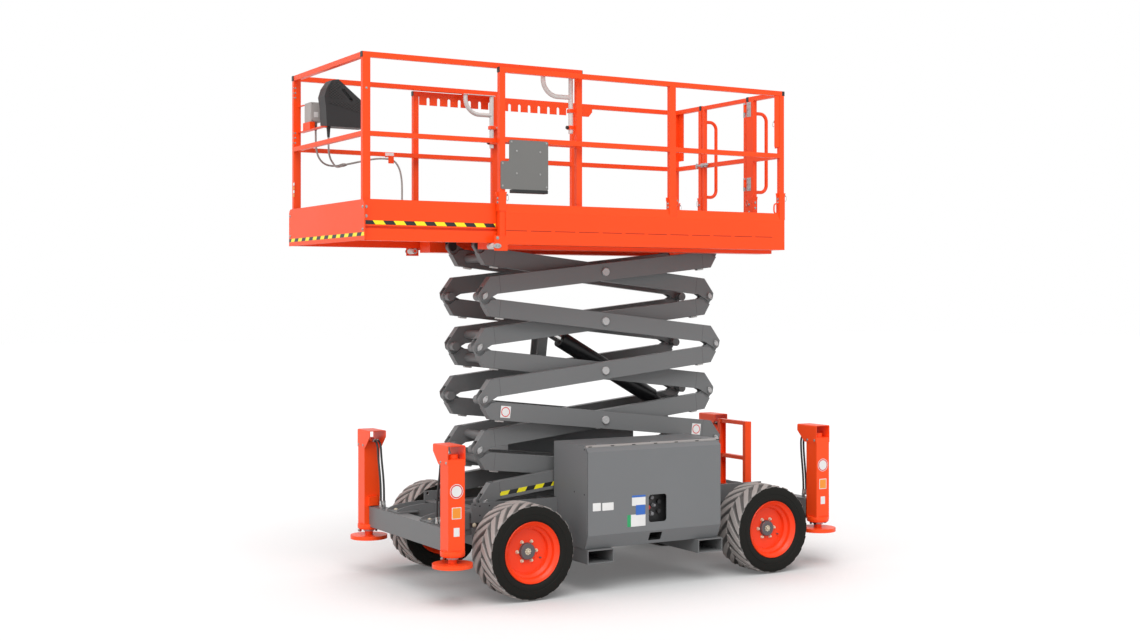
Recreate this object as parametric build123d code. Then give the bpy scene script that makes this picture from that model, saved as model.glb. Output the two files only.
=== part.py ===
"""Rough-terrain electric scissor lift with a roll-out deck and four levelling jacks.

Millimetres. +X points to the roll-out deck end, +Y to the machine's left and +Z up. The origin is
on the ground, midway between the axles and on the centre plane. The platform is drawn part raised.
"""
from build123d import *
import math
import os

os.makedirs("parts", exist_ok=True)

# ------------------------------------------------------------------ driving dimensions
# running clearances
fit = 0.05            # radial gap of a pin in its bore
seat = 0.3            # gap under a piece that rests or slides
air = 6.0             # least gap between pieces that move past each other

# wheels
wheelbase = 2098.0
track_face = 875.0    # outer sidewall face from the centre plane
axle_height = 335.0
tyre_radius = 335.0   # out to the lug tips
tyre_width = 310.0
lug_count = 20        # in each of the two rows
lug_height = 25.0
lug_sweep = 26.0      # degrees that a lug leads at the shoulder
tyre_sides = 20       # flat facets round a side wall
flange_radius = 217.0
disc_inset = 100.0    # wheel disc behind the sidewall face
disc_thickness = 10.0
spindle_radius = 25.0
hub_radius = 85.0
kingpin_y = track_face - 255
kingpin_radius = 18.0

# chassis
rail_length = 2580.0
rail_inner_y = 213.0
rail_width = 180.0
rail_top = 572.0
rail_depth = 72.0
rail_wall = 8.0
side_plate = 12.0
side_plate_top = 640.0
cross_width = 80.0
middle_cross_x = 380.0     # two cross members either side of the middle
front_cross_x = 1150.0

# outrigger jacks
jack_x = 1600.0
jack_y = 729.0
leg_size = 125.0
leg_wall = 8.0
leg_bottom = 343.0
leg_top = 1005.0
ram_radius = 31.0
foot_radius = 140.0
foot_bottom = 265.0
foot_thickness = 28.0
cover_top = 1100.0
cover_drop = 135.0       # from the cover's top to the low edge of its cheeks
cover_reach = 108.0      # past the leg, towards the centre plane
cover_brow = 50.0        # upright edge of a cheek, above its slant
cover_plate = 5.0
head_radius = 36.0       # jack cylinder's head on top of the leg
hose_stand = 95.0        # elbows end this far from the leg's axis
hose_radius = 8.0
hose_offset = 22.0       # hoses stand this far from the leg's axis along the machine
fitting_height = 28.0
beam_x = 1574.0
beam_depth = 100.0
beam_bottom = 362.0
beam_height = 155.0

# cabinets
cab_front = 590.0
cab_rear = -570.0
cab_inner_y = 360.0
cab_outer_y = 845.0
cab_top = 1050.0
cab_bottom = 310.0
cab_shoulder = 45.0   # upper chamfer
cab_skirt = 100.0     # lower chamfer, height
cab_sheet = 5.0
window_x = (-82.0, 73.0)
window_z = (471.0, 671.0)
slot_x = (-50.0, 58.0)     # in the lower chamfer
slot_z = (334.0, 394.0)

# fork pockets
pocket_width = 220.0
pocket_height = 100.0
pocket_wall = 8.0
pocket_bottom = 208.0
pocket_x = 480.0

# scissor stack
stages = 5
pin_span = 2080.0           # between the end pins of an arm
rear_pin_x = -894.0
lowest_pin_z = 623.0
stage_height = 372.7        # as drawn
arm_depth = 130.0
arm_width = 65.0
arm_wall = 6.0
pin_offset = 72.5           # end pins stand off the arm's centre line
outer_arm_y = 270.0         # inner face of the outer arms
inner_arm_y = 185.0
end_pin_radius = 22.5
centre_pin_radius = 27.5
end_radius = 35.0           # round end of cheek and eye
relief_radius = 58.0        # cut in the upper end's cheeks, round the fork
cheek = 10.0
eye_gap = 5.0
boss_length = 60.0
boss_radius = 32.0
tie_radius = 33.0
tie_station = 900.0         # cross tubes from the arm's middle

# lift cylinder, between the second and third pairs of inner arms
barrel_radius = 65.0
rod_radius = 38.0
cyl_eye_radius = 45.0
cyl_eye_width = 70.0
cyl_pin_radius = 20.0
cyl_low = (-620.0, 1257.7)  # lower pin, x and z
cyl_high = (500.0, 1883.3)  # upper pin, x and z
barrel_start = 130.0
barrel_length = 960.0
lug_plate = 14.0

# platform
deck_front = 1240.0
deck_rear = -1258.0
deck_half = 742.0           # outer face of the side plates
deck_floor = 2590.0
deck_plate = 4.0
deck_bottom = 2476.0
toe_top = 2760.0
rail_top_z = 3710.0
rail_mid_z = toe_top + (rail_top_z - toe_top) * 465 / 950
tube = 36.0

# roll-out deck
ext_front = 2243.0
ext_rear = 536.0
ext_half = deck_half - 63
ext_beam_bottom = 2487.0
ext_beam_height = 81.0
ext_beam_width = 50.0
ext_floor = 2606.0
ext_toe_top = 2764.0
ext_rail_top = 3746.0
ext_rail_mid = 3218.0
ext_plate = 4.0


# ------------------------------------------------------------------ small shapes
def block(x0, x1, y0, y1, z0, z1):
    """A box between two corners."""
    centre = ((x0 + x1) / 2, (y0 + y1) / 2, (z0 + z1) / 2)
    return Pos(*centre) * Box(abs(x1 - x0), abs(y1 - y0), abs(z1 - z0))


def bar_y(x, z, radius, y0, y1):
    """A round bar along Y."""
    return Pos(x, (y0 + y1) / 2, z) * Rot(90, 0, 0) * Cylinder(radius, abs(y1 - y0))


def bar_x(y, z, radius, x0, x1):
    """A round bar along X."""
    return Pos((x0 + x1) / 2, y, z) * Rot(0, 90, 0) * Cylinder(radius, abs(x1 - x0))


def bar_z(x, y, radius, z0, z1):
    """A round bar along Z."""
    return Pos(x, y, (z0 + z1) / 2) * Cylinder(radius, abs(z1 - z0))


def prism_y(points, y0, y1):
    """An outline drawn in X and Z, as thick as the span along Y."""
    face = make_face(Polyline(*[(x, y0, z) for x, z in points], close=True))
    return extrude(face, amount=y1 - y0, dir=(0, 1, 0))


def prism_x(points, x0, x1):
    """An outline drawn in Y and Z, as thick as the span along X."""
    face = make_face(Polyline(*[(x0, y, z) for y, z in points], close=True))
    return extrude(face, amount=x1 - x0, dir=(1, 0, 0))


def mirrored(shape):
    """The same piece on the machine's right."""
    return mirror(shape, about=Plane.XZ)


def both_sides(shape):
    """A piece and its mirror image."""
    return [shape, mirrored(shape)]


def all_solids(shapes):
    """Every solid of a list of shapes."""
    return [solid for shape in shapes for solid in shape.solids()]


def save(name, *shapes):
    """Write one sub-part, made of one or more solids that do not touch."""
    solids = all_solids(shapes)
    export_step(solids[0] if len(solids) == 1 else Compound(children=solids), f"parts/{name}.step")


# ------------------------------------------------------------------ scissor geometry
half_span = math.sqrt((pin_span / 2) ** 2 - pin_offset ** 2)
rest_angle = math.asin(stage_height / pin_span)
offset_angle = math.atan2(pin_offset, half_span)
tube_angle = rest_angle - offset_angle
half_spread = pin_span / 2 * math.cos(rest_angle)
centre_x = rear_pin_x + half_spread
front_pin_x = rear_pin_x + 2 * half_spread


def level(k):
    """Height of the end pins between stage k and stage k + 1."""
    return lowest_pin_z + k * stage_height


def place_arm(shape, stage, low_end_front):
    """Put an arm, drawn along X with its lower end at -X, into its stage."""
    tilt = math.degrees(tube_angle)
    if low_end_front:
        turn = Rot(0, tilt, 0) * Rot(0, 0, 180)
    else:
        turn = Rot(0, -tilt, 0)
    return Pos(centre_x, 0, (level(stage - 1) + level(stage)) / 2) * turn * shape


deep = arm_depth / 2
near_end = half_span - 107.5          # where the rolled tube stops
corner_out = half_span + 36.5         # outermost corner of an end
corner_in = half_span - 62.5          # where the slant leaves the tube's edge
tip_drop = pin_offset - 32.5


def lower_end(y0, y1):
    """Fork: two cheeks, a slanted closing strip, the pin with its inner boss and its head."""
    outline = [(-near_end, -deep), (-near_end + 30, -deep), (-near_end + 30, deep), (-corner_in, deep),
               (-corner_out, -tip_drop), (-half_span - end_radius, -pin_offset),
               (-half_span, -pin_offset - end_radius)]
    pieces = []
    for side in ((y0, y0 + cheek), (y1 - cheek, y1)):
        pieces.append(prism_y(outline, *side) + bar_y(-half_span, -pin_offset, end_radius, *side))
    run = math.hypot(corner_out - corner_in, deep + tip_drop)
    ux, uz = (corner_in - corner_out) / run * -1, -(deep + tip_drop) / run
    reach = run * 0.62
    strip = [(-corner_in, deep), (-corner_in - abs(ux) * reach, deep + uz * reach),
             (-corner_in - abs(ux) * reach - uz * -8, deep + uz * reach - abs(ux) * 8),
             (-corner_in + 8, deep - 8)]
    pieces.append(prism_y(strip, y0, y1))
    inward = -1 if y0 > 0 else 1
    head_y = (y1, y1 + 10) if y0 > 0 else (y0 - 10, y0)
    boss_y = (y0 - boss_length, y0) if y0 > 0 else (y1, y1 + boss_length)
    pieces.append(bar_y(-half_span, -pin_offset, end_pin_radius, min(head_y[0], boss_y[0]), max(head_y[1], boss_y[1])))
    pieces.append(bar_y(-half_span, -pin_offset, boss_radius, *boss_y))
    return pieces


def upper_end(y0, y1):
    """Eye: a thick middle plate bored for the pin, with full-width cheeks cut back round the fork."""
    mid = (y0 + y1) / 2
    half_eye = arm_width / 2 - cheek - eye_gap
    angle = math.radians(-142.2)
    tangent = (half_span - end_radius * math.cos(angle), pin_offset + end_radius * math.sin(angle))
    outline = [(near_end, deep), (near_end - 30, deep), (near_end - 30, -deep), (corner_in, -deep),
               tangent, (half_span + end_radius, pin_offset), (half_span, pin_offset + end_radius)]
    eye = prism_y(outline, mid - half_eye, mid + half_eye)
    eye += bar_y(half_span, pin_offset, end_radius, mid - half_eye, mid + half_eye)
    relief = bar_y(half_span, pin_offset, relief_radius, y0 - 1, y1 + 1)
    full = outline[:5] + [(half_span, pin_offset - end_radius)]
    pieces = []
    for side in ((y0, y0 + cheek), (y1 - cheek, y1)):
        pieces.append(prism_y(full, *side) - relief)
    slant = [(corner_in, -deep), (tangent[0], tangent[1]), (tangent[0] - 6, tangent[1] + 4), (corner_in - 9, -deep + 4)]
    pieces.append(prism_y(slant, y0, y1) - relief)
    bore = bar_y(half_span, pin_offset, end_pin_radius + fit, y0 - 5, y1 + 5)
    return [eye - bore] + pieces


def arm_tube(y0, y1):
    """The rolled rectangular tube of one arm, open at its ends."""
    outer = block(-near_end, near_end, y0, y1, -deep, deep)
    inner = block(-near_end - 1, near_end + 1, y0 + arm_wall, y1 - arm_wall, -deep + arm_wall, deep - arm_wall)
    return outer - inner


def rest_pad(y0, y1):
    """Pad under the upper end, on which the arm rests when the stack is folded."""
    return block(near_end - 75, near_end - 20, y0 + 15, y1 - 15, -deep - 9, -deep)


def outer_arm(y0, y1):
    """One outer arm with the bore of its middle pin."""
    arm = arm_tube(y0, y1) + bar_y(0, 0, centre_pin_radius + 14, y0, y1)
    for piece in lower_end(y0, y1) + upper_end(y0, y1):
        arm += piece
    arm += rest_pad(y0, y1)
    return arm - bar_y(0, 0, centre_pin_radius + fit, y0 - 1, y1 + 1)


def inner_arm(y0, y1):
    """One inner arm with its middle pin, collar and the cap outside the outer arm."""
    arm = arm_tube(y0, y1)
    for piece in lower_end(y0, y1) + upper_end(y0, y1):
        arm += piece
    arm += rest_pad(y0, y1)
    if y0 > 0:
        pin_y = (y0, outer_arm_y + arm_width + 2)
        collar_y = (y1, outer_arm_y - eye_gap)
        cap_y = (outer_arm_y + arm_width + 1, outer_arm_y + arm_width + 13)
    else:
        pin_y = (-outer_arm_y - arm_width - 2, y1)
        collar_y = (-outer_arm_y + eye_gap, y0)
        cap_y = (-outer_arm_y - arm_width - 13, -outer_arm_y - arm_width - 1)
    arm += bar_y(0, 0, centre_pin_radius, *pin_y)
    arm += bar_y(0, 0, centre_pin_radius + 14, *collar_y)
    arm += bar_y(0, 0, centre_pin_radius + 3, *cap_y)
    return arm


def tie_tube(x, z):
    """A cross tube between the two inner arms."""
    return bar_y(x, z, tie_radius, -inner_arm_y - arm_wall, inner_arm_y + arm_wall)


# ------------------------------------------------------------------ scissor arms
def arm_local(stage, low_end_front, x, z):
    """A point in X and Z of the machine, in the drawing of one arm."""
    dx = x - centre_x
    dz = z - (level(stage - 1) + level(stage)) / 2
    if low_end_front:
        return (-dx * math.cos(tube_angle) + dz * math.sin(tube_angle),
                dx * math.sin(tube_angle) + dz * math.cos(tube_angle))
    return (dx * math.cos(tube_angle) + dz * math.sin(tube_angle),
            -dx * math.sin(tube_angle) + dz * math.cos(tube_angle))


def lug_pair(from_x, from_z, to_x, to_z):
    """Two plates from a cross tube to a cylinder pin."""
    length = math.hypot(to_x - from_x, to_z - from_z)
    angle = math.degrees(math.atan2(to_z - from_z, to_x - from_x))
    plates = []
    inside = cyl_eye_width / 2 + eye_gap + 1
    for y0 in (inside, -inside - lug_plate):
        bar = Pos(length / 2, y0 + lug_plate / 2, 0) * Box(length, lug_plate, 2 * (cyl_eye_radius - 5))
        tip = bar_y(length, 0, cyl_eye_radius - 5, y0, y0 + lug_plate)
        plates.append(Pos(from_x, 0, from_z) * Rot(0, -angle, 0) * (bar + tip))
    return plates


inner_plane = (inner_arm_y, inner_arm_y + arm_width)
outer_plane = (outer_arm_y, outer_arm_y + arm_width)

for stage in range(1, stages + 1):
    odd = stage % 2 == 1
    left = outer_arm(*outer_plane)
    right = outer_arm(-outer_plane[1], -outer_plane[0])
    save(f"outer_arms_{stage}", *[place_arm(arm, stage, odd) for arm in (left, right)])

    frame = inner_arm(*inner_plane) + inner_arm(-inner_plane[1], -inner_plane[0])
    if stage == 1:
        frame += bar_y(-half_span, -pin_offset, boss_radius, -inner_arm_y, inner_arm_y)
    else:
        frame += tie_tube(-tie_station, 0)
    frame += tie_tube(tie_station, 0)
    if stage == 2:
        pin_x, pin_z = arm_local(2, True, *cyl_low)
        for plate in lug_pair(tie_station, 0, pin_x, pin_z):
            frame += plate
        frame += bar_y(pin_x, pin_z, cyl_pin_radius, -cyl_eye_width / 2 - 20, cyl_eye_width / 2 + 20)
    if stage == 3:
        pin_x, pin_z = arm_local(3, False, *cyl_high)
        frame += tie_tube(pin_x, 0)
        for plate in lug_pair(pin_x, 0, pin_x, pin_z):
            frame += plate - bar_y(pin_x, pin_z, cyl_pin_radius + 1, -200, 200)
    save(f"inner_arms_{stage}", place_arm(frame, stage, not odd))

# ------------------------------------------------------------------ lift cylinder
cyl_length = math.hypot(cyl_high[0] - cyl_low[0], cyl_high[1] - cyl_low[1])
cyl_angle = math.degrees(math.atan2(cyl_high[1] - cyl_low[1], cyl_high[0] - cyl_low[0]))
to_cylinder = Pos(cyl_low[0], 0, cyl_low[1]) * Rot(0, -cyl_angle, 0)
barrel_end = barrel_start + barrel_length
half_cyl_eye = cyl_eye_width / 2

barrel = bar_x(0, 0, barrel_radius, barrel_start, barrel_end)
barrel += bar_x(0, 0, 34, 20, barrel_start)
barrel += bar_y(0, 0, cyl_eye_radius, -half_cyl_eye, half_cyl_eye)
barrel -= bar_y(0, 0, cyl_pin_radius + fit, -half_cyl_eye - 1, half_cyl_eye + 1)
barrel -= bar_x(0, 0, rod_radius + fit, barrel_start + 40, barrel_end + 1)
save("lift_cylinder_barrel", to_cylinder * barrel)

rod = bar_x(0, 0, rod_radius, barrel_start + 300, cyl_length - 20)
rod += bar_y(cyl_length, 0, cyl_eye_radius - 4, -half_cyl_eye, half_cyl_eye)
rod -= bar_y(cyl_length, 0, cyl_pin_radius, -half_cyl_eye - 1, half_cyl_eye + 1)
save("lift_cylinder_rod", to_cylinder * rod)

# ------------------------------------------------------------------ slide blocks
block_half = arm_width / 2 - cheek - eye_gap


def slide_block(x, z, y_mid, foot_z, shoe_z):
    """A block between the cheeks of a fork, with a wide shoe on the track."""
    body = bar_y(x, z, 30, y_mid - block_half, y_mid + block_half)
    body += block(x - 55, x + 55, y_mid - block_half, y_mid + block_half, min(foot_z, z), max(foot_z, z)) & \
        block(x - 55, x + 55, y_mid - 100, y_mid + 100, min(foot_z, shoe_z + (z - shoe_z) * 0.4),
              max(foot_z, shoe_z + (z - shoe_z) * 0.4))
    body += block(x - 26, x + 26, y_mid - block_half, y_mid + block_half, min(foot_z, z), max(foot_z, z))
    body += block(x - 70, x + 70, y_mid - 40, y_mid + 40, foot_z, shoe_z)
    return body


low_shoe_top = lowest_pin_z - end_radius - eye_gap
low_block = slide_block(front_pin_x, lowest_pin_z, outer_arm_y + arm_width / 2, rail_top + seat, low_shoe_top)
low_block -= bar_y(front_pin_x, lowest_pin_z, end_pin_radius + fit, 200, 400)
save("slide_blocks_lower", *both_sides(low_block))

track_top_z = level(stages) + end_radius + 21
high_shoe = level(stages) + end_radius + eye_gap
inner_mid = inner_arm_y + arm_width / 2


def top_block():
    """The upper block straddles the eye of the top inner arm, with the pin fixed in its cheeks."""
    z = level(stages)
    gap = block_half + eye_gap
    parts = []
    for side in ((inner_mid - gap - 9, inner_mid - gap), (inner_mid + gap, inner_mid + gap + 9)):
        parts.append(bar_y(front_pin_x, z, 32, *side) + block(front_pin_x - 32, front_pin_x + 32, *side, z, high_shoe + 1))
    shoe = block(front_pin_x - 55, front_pin_x + 55, inner_mid - gap - 9, inner_mid + gap + 9, high_shoe, track_top_z - seat)
    whole = shoe + bar_y(front_pin_x, z, end_pin_radius, inner_mid - gap - 9, inner_mid + gap + 9)
    for part in parts:
        whole += part
    return whole


save("slide_blocks_upper", *both_sides(top_block()))

# ------------------------------------------------------------------ chassis
rail_bottom = rail_top - rail_depth
half_rail = rail_length / 2
rail_outer_y = rail_inner_y + rail_width


def chassis_side():
    """One long member with its outer plate."""
    rail = block(-half_rail, half_rail, rail_inner_y, rail_outer_y, rail_bottom, rail_top)
    rail -= block(-half_rail - 1, half_rail + 1, rail_inner_y + rail_wall, rail_outer_y - rail_wall,
                  rail_bottom + rail_wall, rail_top - rail_wall)
    rail += block(-half_rail, half_rail, rail_outer_y, rail_outer_y + side_plate, rail_bottom, side_plate_top)
    return rail


chassis = chassis_side()
tie_x = half_rail - 28
tie_z = side_plate_top - 18
tie_hole = 11.0
for x in (tie_x, -tie_x):
    chassis -= bar_y(x, tie_z, tie_hole, rail_outer_y - 1, rail_outer_y + side_plate + 1)
chassis += mirrored(chassis)
for x, width in ((rear_pin_x, 120), (-middle_cross_x, cross_width), (middle_cross_x, cross_width),
                 (front_cross_x, cross_width)):
    x0, x1 = x - width / 2, x + width / 2
    cross = block(x0, x1, -rail_inner_y, rail_inner_y, rail_bottom, rail_top)
    cross -= block(x0 + rail_wall, x1 - rail_wall, -rail_inner_y - 1, rail_inner_y + 1,
                   rail_bottom + rail_wall, rail_top - rail_wall)
    chassis += cross
lug_mid = inner_arm_y + arm_width / 2
for side in (1, -1):
    y0 = side * lug_mid - block_half
    y1 = side * lug_mid + block_half
    lug = block(rear_pin_x - 30, rear_pin_x + 30, y0, y1, rail_top - 2, lowest_pin_z)
    lug += bar_y(rear_pin_x, lowest_pin_z, 30, y0, y1)
    chassis += lug - bar_y(rear_pin_x, lowest_pin_z, end_pin_radius + fit, y0 - 1, y1 + 1)
axle_top = axle_height + 60
for end in (1, -1):
    x = end * wheelbase / 2
    for y0 in (rail_inner_y + 20, -rail_inner_y - 20 - 16):
        chassis += block(x - 90, x + 90, y0, y0 + 16, axle_top, rail_bottom + 2)
    # arms of the outrigger beam
    near = end * (half_rail - 80)
    far = end * (beam_x - beam_depth / 2)
    for y0 in (rail_inner_y + 60, -rail_inner_y - 60 - 90):
        chassis += block(min(near, far), max(near, far), y0, y0 + 90, rail_bottom - 90, rail_bottom)
save("chassis_frame", chassis)

# ------------------------------------------------------------------ outrigger beams and jacks
# where a jack's hose comes down onto its beam, from the jack's axis towards the centre plane
hose_end = {1: 239.0, -1: 149.0}
beam_top = beam_bottom + beam_height
beams = []
for end in (1, -1):
    x0 = end * beam_x - beam_depth / 2
    x1 = x0 + beam_depth
    reach = jack_y - leg_size / 2
    beam = block(x0, x1, -reach, reach, beam_bottom, beam_bottom + beam_height)
    beam -= block(x0 + 6, x1 - 6, -reach - 1, reach + 1, beam_bottom + 6, beam_top - 6)
    for y in (jack_y - hose_end[end], hose_end[end] - jack_y):
        beam += bar_z(end * (jack_x - hose_offset), y, hose_radius + 4, beam_top - 1, beam_top + fitting_height)
    beams.append(beam)
save("outrigger_beams", *beams)



def jack_cover(x, y, side):
    """Folded sheet over the head of a jack, open at both ends and cut on a slant below."""
    half = leg_size / 2
    low = cover_top - cover_drop
    sheet = block(x - half - cover_plate, x + half + cover_plate, y - 200, y + 200, low - 1, cover_top)
    sheet = fillet(sheet.edges().filter_by(Axis.Y).group_by(Axis.Z)[-1], 10)
    sheet -= block(x - half + 1, x + half - 1, y - 201, y + 201, low - 2, cover_top - cover_plate)
    outer = y + side * half
    inner = y - side * (half + cover_reach)
    outline = [(outer, cover_top + 1), (inner, cover_top + 1), (inner, cover_top - cover_brow),
               (y - side * (half + 20), low), (outer, low)]
    return sheet & prism_x(outline, x - 2 * half, x + 2 * half)


corners = [("front_left", 1, 1), ("front_right", 1, -1), ("rear_left", -1, 1), ("rear_right", -1, -1)]
legs = []
for name, end, side in corners:
    x = end * jack_x
    y = side * jack_y
    half = leg_size / 2
    leg = block(x - half, x + half, y - half, y + half, leg_bottom + 14, leg_top)
    leg -= block(x - half + leg_wall, x + half - leg_wall, y - half + leg_wall, y + half - leg_wall,
                 leg_bottom, leg_top - 12)
    leg += bar_z(x, y, half - 2, leg_bottom, leg_bottom + 16)
    leg -= bar_z(x, y, ram_radius + fit, leg_bottom - 1, leg_bottom + 20)
    leg += bar_z(x, y, head_radius, leg_top - 2, leg_top + 32)
    for dx in (-hose_offset, hose_offset):
        leg += bar_y(x + dx, leg_top + 16, 10, *sorted((y, y - side * hose_stand)))
    box_y = sorted((y - side * (half - 1), y - side * (half + 30)))
    leg += block(x - 36, x + 36, *box_y, beam_top + 6, beam_top + 74)
    legs.append(leg + jack_cover(x, y, side))

    ram = bar_z(x, y, ram_radius, foot_bottom + 10, leg_top - 150)
    ram += bar_z(x, y, foot_radius, foot_bottom, foot_bottom + foot_thickness)
    save(f"jack_foot_{name}", ram)
save("jack_legs", *legs)


def tube_along(route, radius):
    """A hose or cable along a route, rounded at its corners. Prints the radius of each bend."""
    points = [Vector(*point) for point in route]
    runs = [(b - a).length for a, b in zip(points, points[1:])]
    bends = []
    for n in range(1, len(points) - 1):
        turn = (points[n] - points[n - 1]).get_angle(points[n + 1] - points[n])
        bends.append(0.45 * min(runs[n - 1], runs[n]) / math.tan(math.radians(turn / 2)))
    path = FilletPolyline(*points, radius=bends)
    cord = sweep(Plane(origin=path @ 0, z_dir=path % 0) * Circle(radius), path=path)
    print("length", round(path.length), "tightest bend", round(min(bends)),
          "volume against section", round(cord.volume / (math.pi * radius ** 2 * path.length), 3))
    return cord


# hoses from the elbows down to the beams: distance from the jack's axis towards the centre plane,
# and height
hose_start = [(hose_stand, leg_top + 16), (131.0, leg_top + 16), (162.0, 1003.0), (180.0, 972.0)]
hose_drop = {1: [(187.0, 912.0), (202.0, 845.0), (222.0, 770.0), (235.0, 690.0), (239.0, 615.0)],
             -1: [(179.0, 912.0), (173.0, 845.0), (163.0, 770.0), (154.0, 690.0), (149.0, 615.0)]}
for name, end, side in corners:
    line = hose_start + hose_drop[end] + [(hose_end[end], beam_top + fitting_height)]
    route = [(end * (jack_x - hose_offset), side * (jack_y - offset), z) for offset, z in line]
    save(f"jack_hose_{name}", tube_along(route, hose_radius))

# ------------------------------------------------------------------ axles, knuckles and wheels
disc_face = track_face - disc_inset
spindle_end = disc_face - 4


def axle_beam(end, steered):
    """A box beam with yokes for steered knuckles, or with fixed spindles."""
    x = end * wheelbase / 2
    reach = kingpin_y - 90 if steered else track_face - 235
    beam = block(x - 50, x + 50, -reach, reach, axle_height - 60, axle_height + 60)
    for side in (1, -1):
        if steered:
            for z0 in (axle_height + 62, axle_height - 62 - 18):
                y0, y1 = sorted((side * (reach - 60), side * (kingpin_y + 40)))
                plate = block(x - 42, x + 42, y0, y1, z0, z0 + 18)
                beam += plate - bar_z(x, side * kingpin_y, kingpin_radius + fit, z0 - 1, z0 + 19)
            for z0, z1 in ((axle_height + 58, axle_height + 80), (axle_height - 80, axle_height - 58)):
                y0, y1 = sorted((side * (reach - 60), side * reach))
                beam += block(x - 42, x + 42, y0, y1, z0, z1)
        else:
            beam += bar_y(x, axle_height, spindle_radius, *sorted((side * reach, side * spindle_end)))
    return beam


steer_x = wheelbase / 2 - 82
steering = bar_y(steer_x, axle_height, 27, -190, 190) + bar_y(steer_x, axle_height, 12, 150 - kingpin_y, kingpin_y - 150)
for y in (-150, 150):
    steering += block(steer_x, wheelbase / 2 - 49, y - 14, y + 14, axle_height - 20, axle_height + 20)
save("front_axle", axle_beam(1, True) + steering)
save("rear_axle", axle_beam(-1, False))


def knuckle(side):
    """A steering knuckle with its kingpin and spindle."""
    x = wheelbase / 2
    y = side * kingpin_y
    body = block(x - 42, x + 42, y - 44, y + 44, axle_height - 56, axle_height + 56)
    body += bar_z(x, y, kingpin_radius, axle_height - 86, axle_height + 86)
    body += bar_y(x, axle_height, spindle_radius, *sorted((y, side * spindle_end)))
    return body


save("knuckle_left", knuckle(1))
save("knuckle_right", knuckle(-1))

inner_face = track_face - tyre_width


def revolve_y(points):
    """A ring or disc about Y, from points of radius and distance along Y."""
    face = make_face(Polyline(*[(r, y, 0) for r, y in points], close=True))
    return revolve(face, Axis.Y, 360)


def flat_face(*points):
    """A flat face round some points."""
    return Face(Wire.make_polygon([Vector(*point) for point in points], close=True))


def facets(one, two):
    """Triangles between two rings with as many points each."""
    faces = []
    for n in range(len(one)):
        m = (n + 1) % len(one)
        faces += [flat_face(one[n], one[m], two[m]), flat_face(one[n], two[m], two[n])]
    return faces


def round_axle(radius, y, angle):
    """A point of the wheel, which turns about Y."""
    return (radius * math.sin(angle), y, radius * math.cos(angle))


tyre_mid = track_face - tyre_width / 2
# share of the way from the tread's middle to its shoulder, half width of a lug at its top and at
# its foot, and how far the tread has come down there
lug_sections = ((0.0, 17.0, 23.0, 0.0), (0.5, 19.0, 26.0, 0.5), (1.0, 22.0, 29.0, 6.0))


def tread_row(side):
    """Half of the tread, from its middle to the shoulder: a ring of slanted lugs."""
    sections = []
    for share, top_half, foot_half, drop in lug_sections:
        top = tyre_radius - drop
        y = tyre_mid + side * share * (tyre_width / 2 - 5)
        section = []
        for n in range(lug_count):
            turn = 2 * math.pi * (n + (0.5 if side > 0 else 0.0)) / lug_count
            turn += math.radians(lug_sweep) * share ** 1.15
            for radius, shift in ((top - lug_height, -foot_half), (top, -top_half), (top, top_half),
                                  (top - lug_height, foot_half)):
                section.append(round_axle(radius, y, turn + shift / tyre_radius))
        sections.append(section)
    faces = [flat_face(*sections[0]), flat_face(*sections[-1])]
    for one, two in zip(sections, sections[1:]):
        faces += facets(one, two)
    return Solid(Shell(faces))


def tyre_rings(profile):
    """Rings of points round the wheel, one for each radius and distance from the tyre's middle."""
    turns = [2 * math.pi * n / tyre_sides for n in range(tyre_sides)]
    return [[round_axle(radius, tyre_mid + y, turn) for turn in turns] for radius, y in profile]


def carcass():
    """Side walls and beads under the tread, in flat facets outside the rim's own circle."""
    half = tyre_width / 2
    corner = 1 / math.cos(math.pi / tyre_sides)
    under = tyre_radius - lug_height - 12
    profile = [((flange_radius - 10) * corner, half - 30), ((flange_radius + 3) * corner, half - 8),
               (262, half), (under - 6, half), (under, half - 10)]
    profile += [(radius, -y) for radius, y in reversed(profile)]
    rings = tyre_rings(profile)
    faces = []
    for one, two in zip(rings, rings[1:] + rings[:1]):
        for n in range(tyre_sides):
            m = (n + 1) % tyre_sides
            faces.append(flat_face(one[n], one[m], two[m], two[n]))
    return Solid(Shell(faces))


def wheel_tyre():
    """Tyre about Y through the origin, out to the lug tips."""
    hole = flat_face(*tyre_rings([(flange_radius + 30, 0)])[0])
    hole = extrude(hole, amount=tyre_width, dir=(0, 1, 0), both=True)
    return carcass() + (tread_row(1) - hole) + (tread_row(-1) - hole)


def wheel_rim():
    """Rim, disc and hub about Y through the origin."""
    out = track_face
    seat_r = flange_radius - 10 - seat
    rim = revolve_y([(seat_r, out - 30), (flange_radius, out - 10), (flange_radius - 4, out - 6),
                     (flange_radius - 14, out - 20), (186, out - 36), (182, out - 62), (160, out - 76),
                     (156, disc_face), (0, disc_face), (0, disc_face - disc_thickness),
                     (176, disc_face - disc_thickness), (186, disc_face - 30), (190, inner_face + 40),
                     (flange_radius - 14, inner_face + 22), (flange_radius - 4, inner_face + 8),
                     (flange_radius, inner_face + 10), (seat_r, inner_face + 30)])
    rim += bar_y(0, 0, hub_radius, disc_face - 65, disc_face)
    rim += bar_y(0, 0, 57, disc_face, disc_face + 22)
    return rim - bar_y(0, 0, spindle_radius + fit, disc_face - 80, spindle_end + 1)


tyre = wheel_tyre()
rim = wheel_rim()
for name, end, side in corners:
    spot = Pos(end * wheelbase / 2, 0, axle_height)
    for kind, shape in (("tyre", tyre), ("rim", rim)):
        save(f"{kind}_{name}", spot * (shape if side > 0 else mirrored(shape)))

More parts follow.
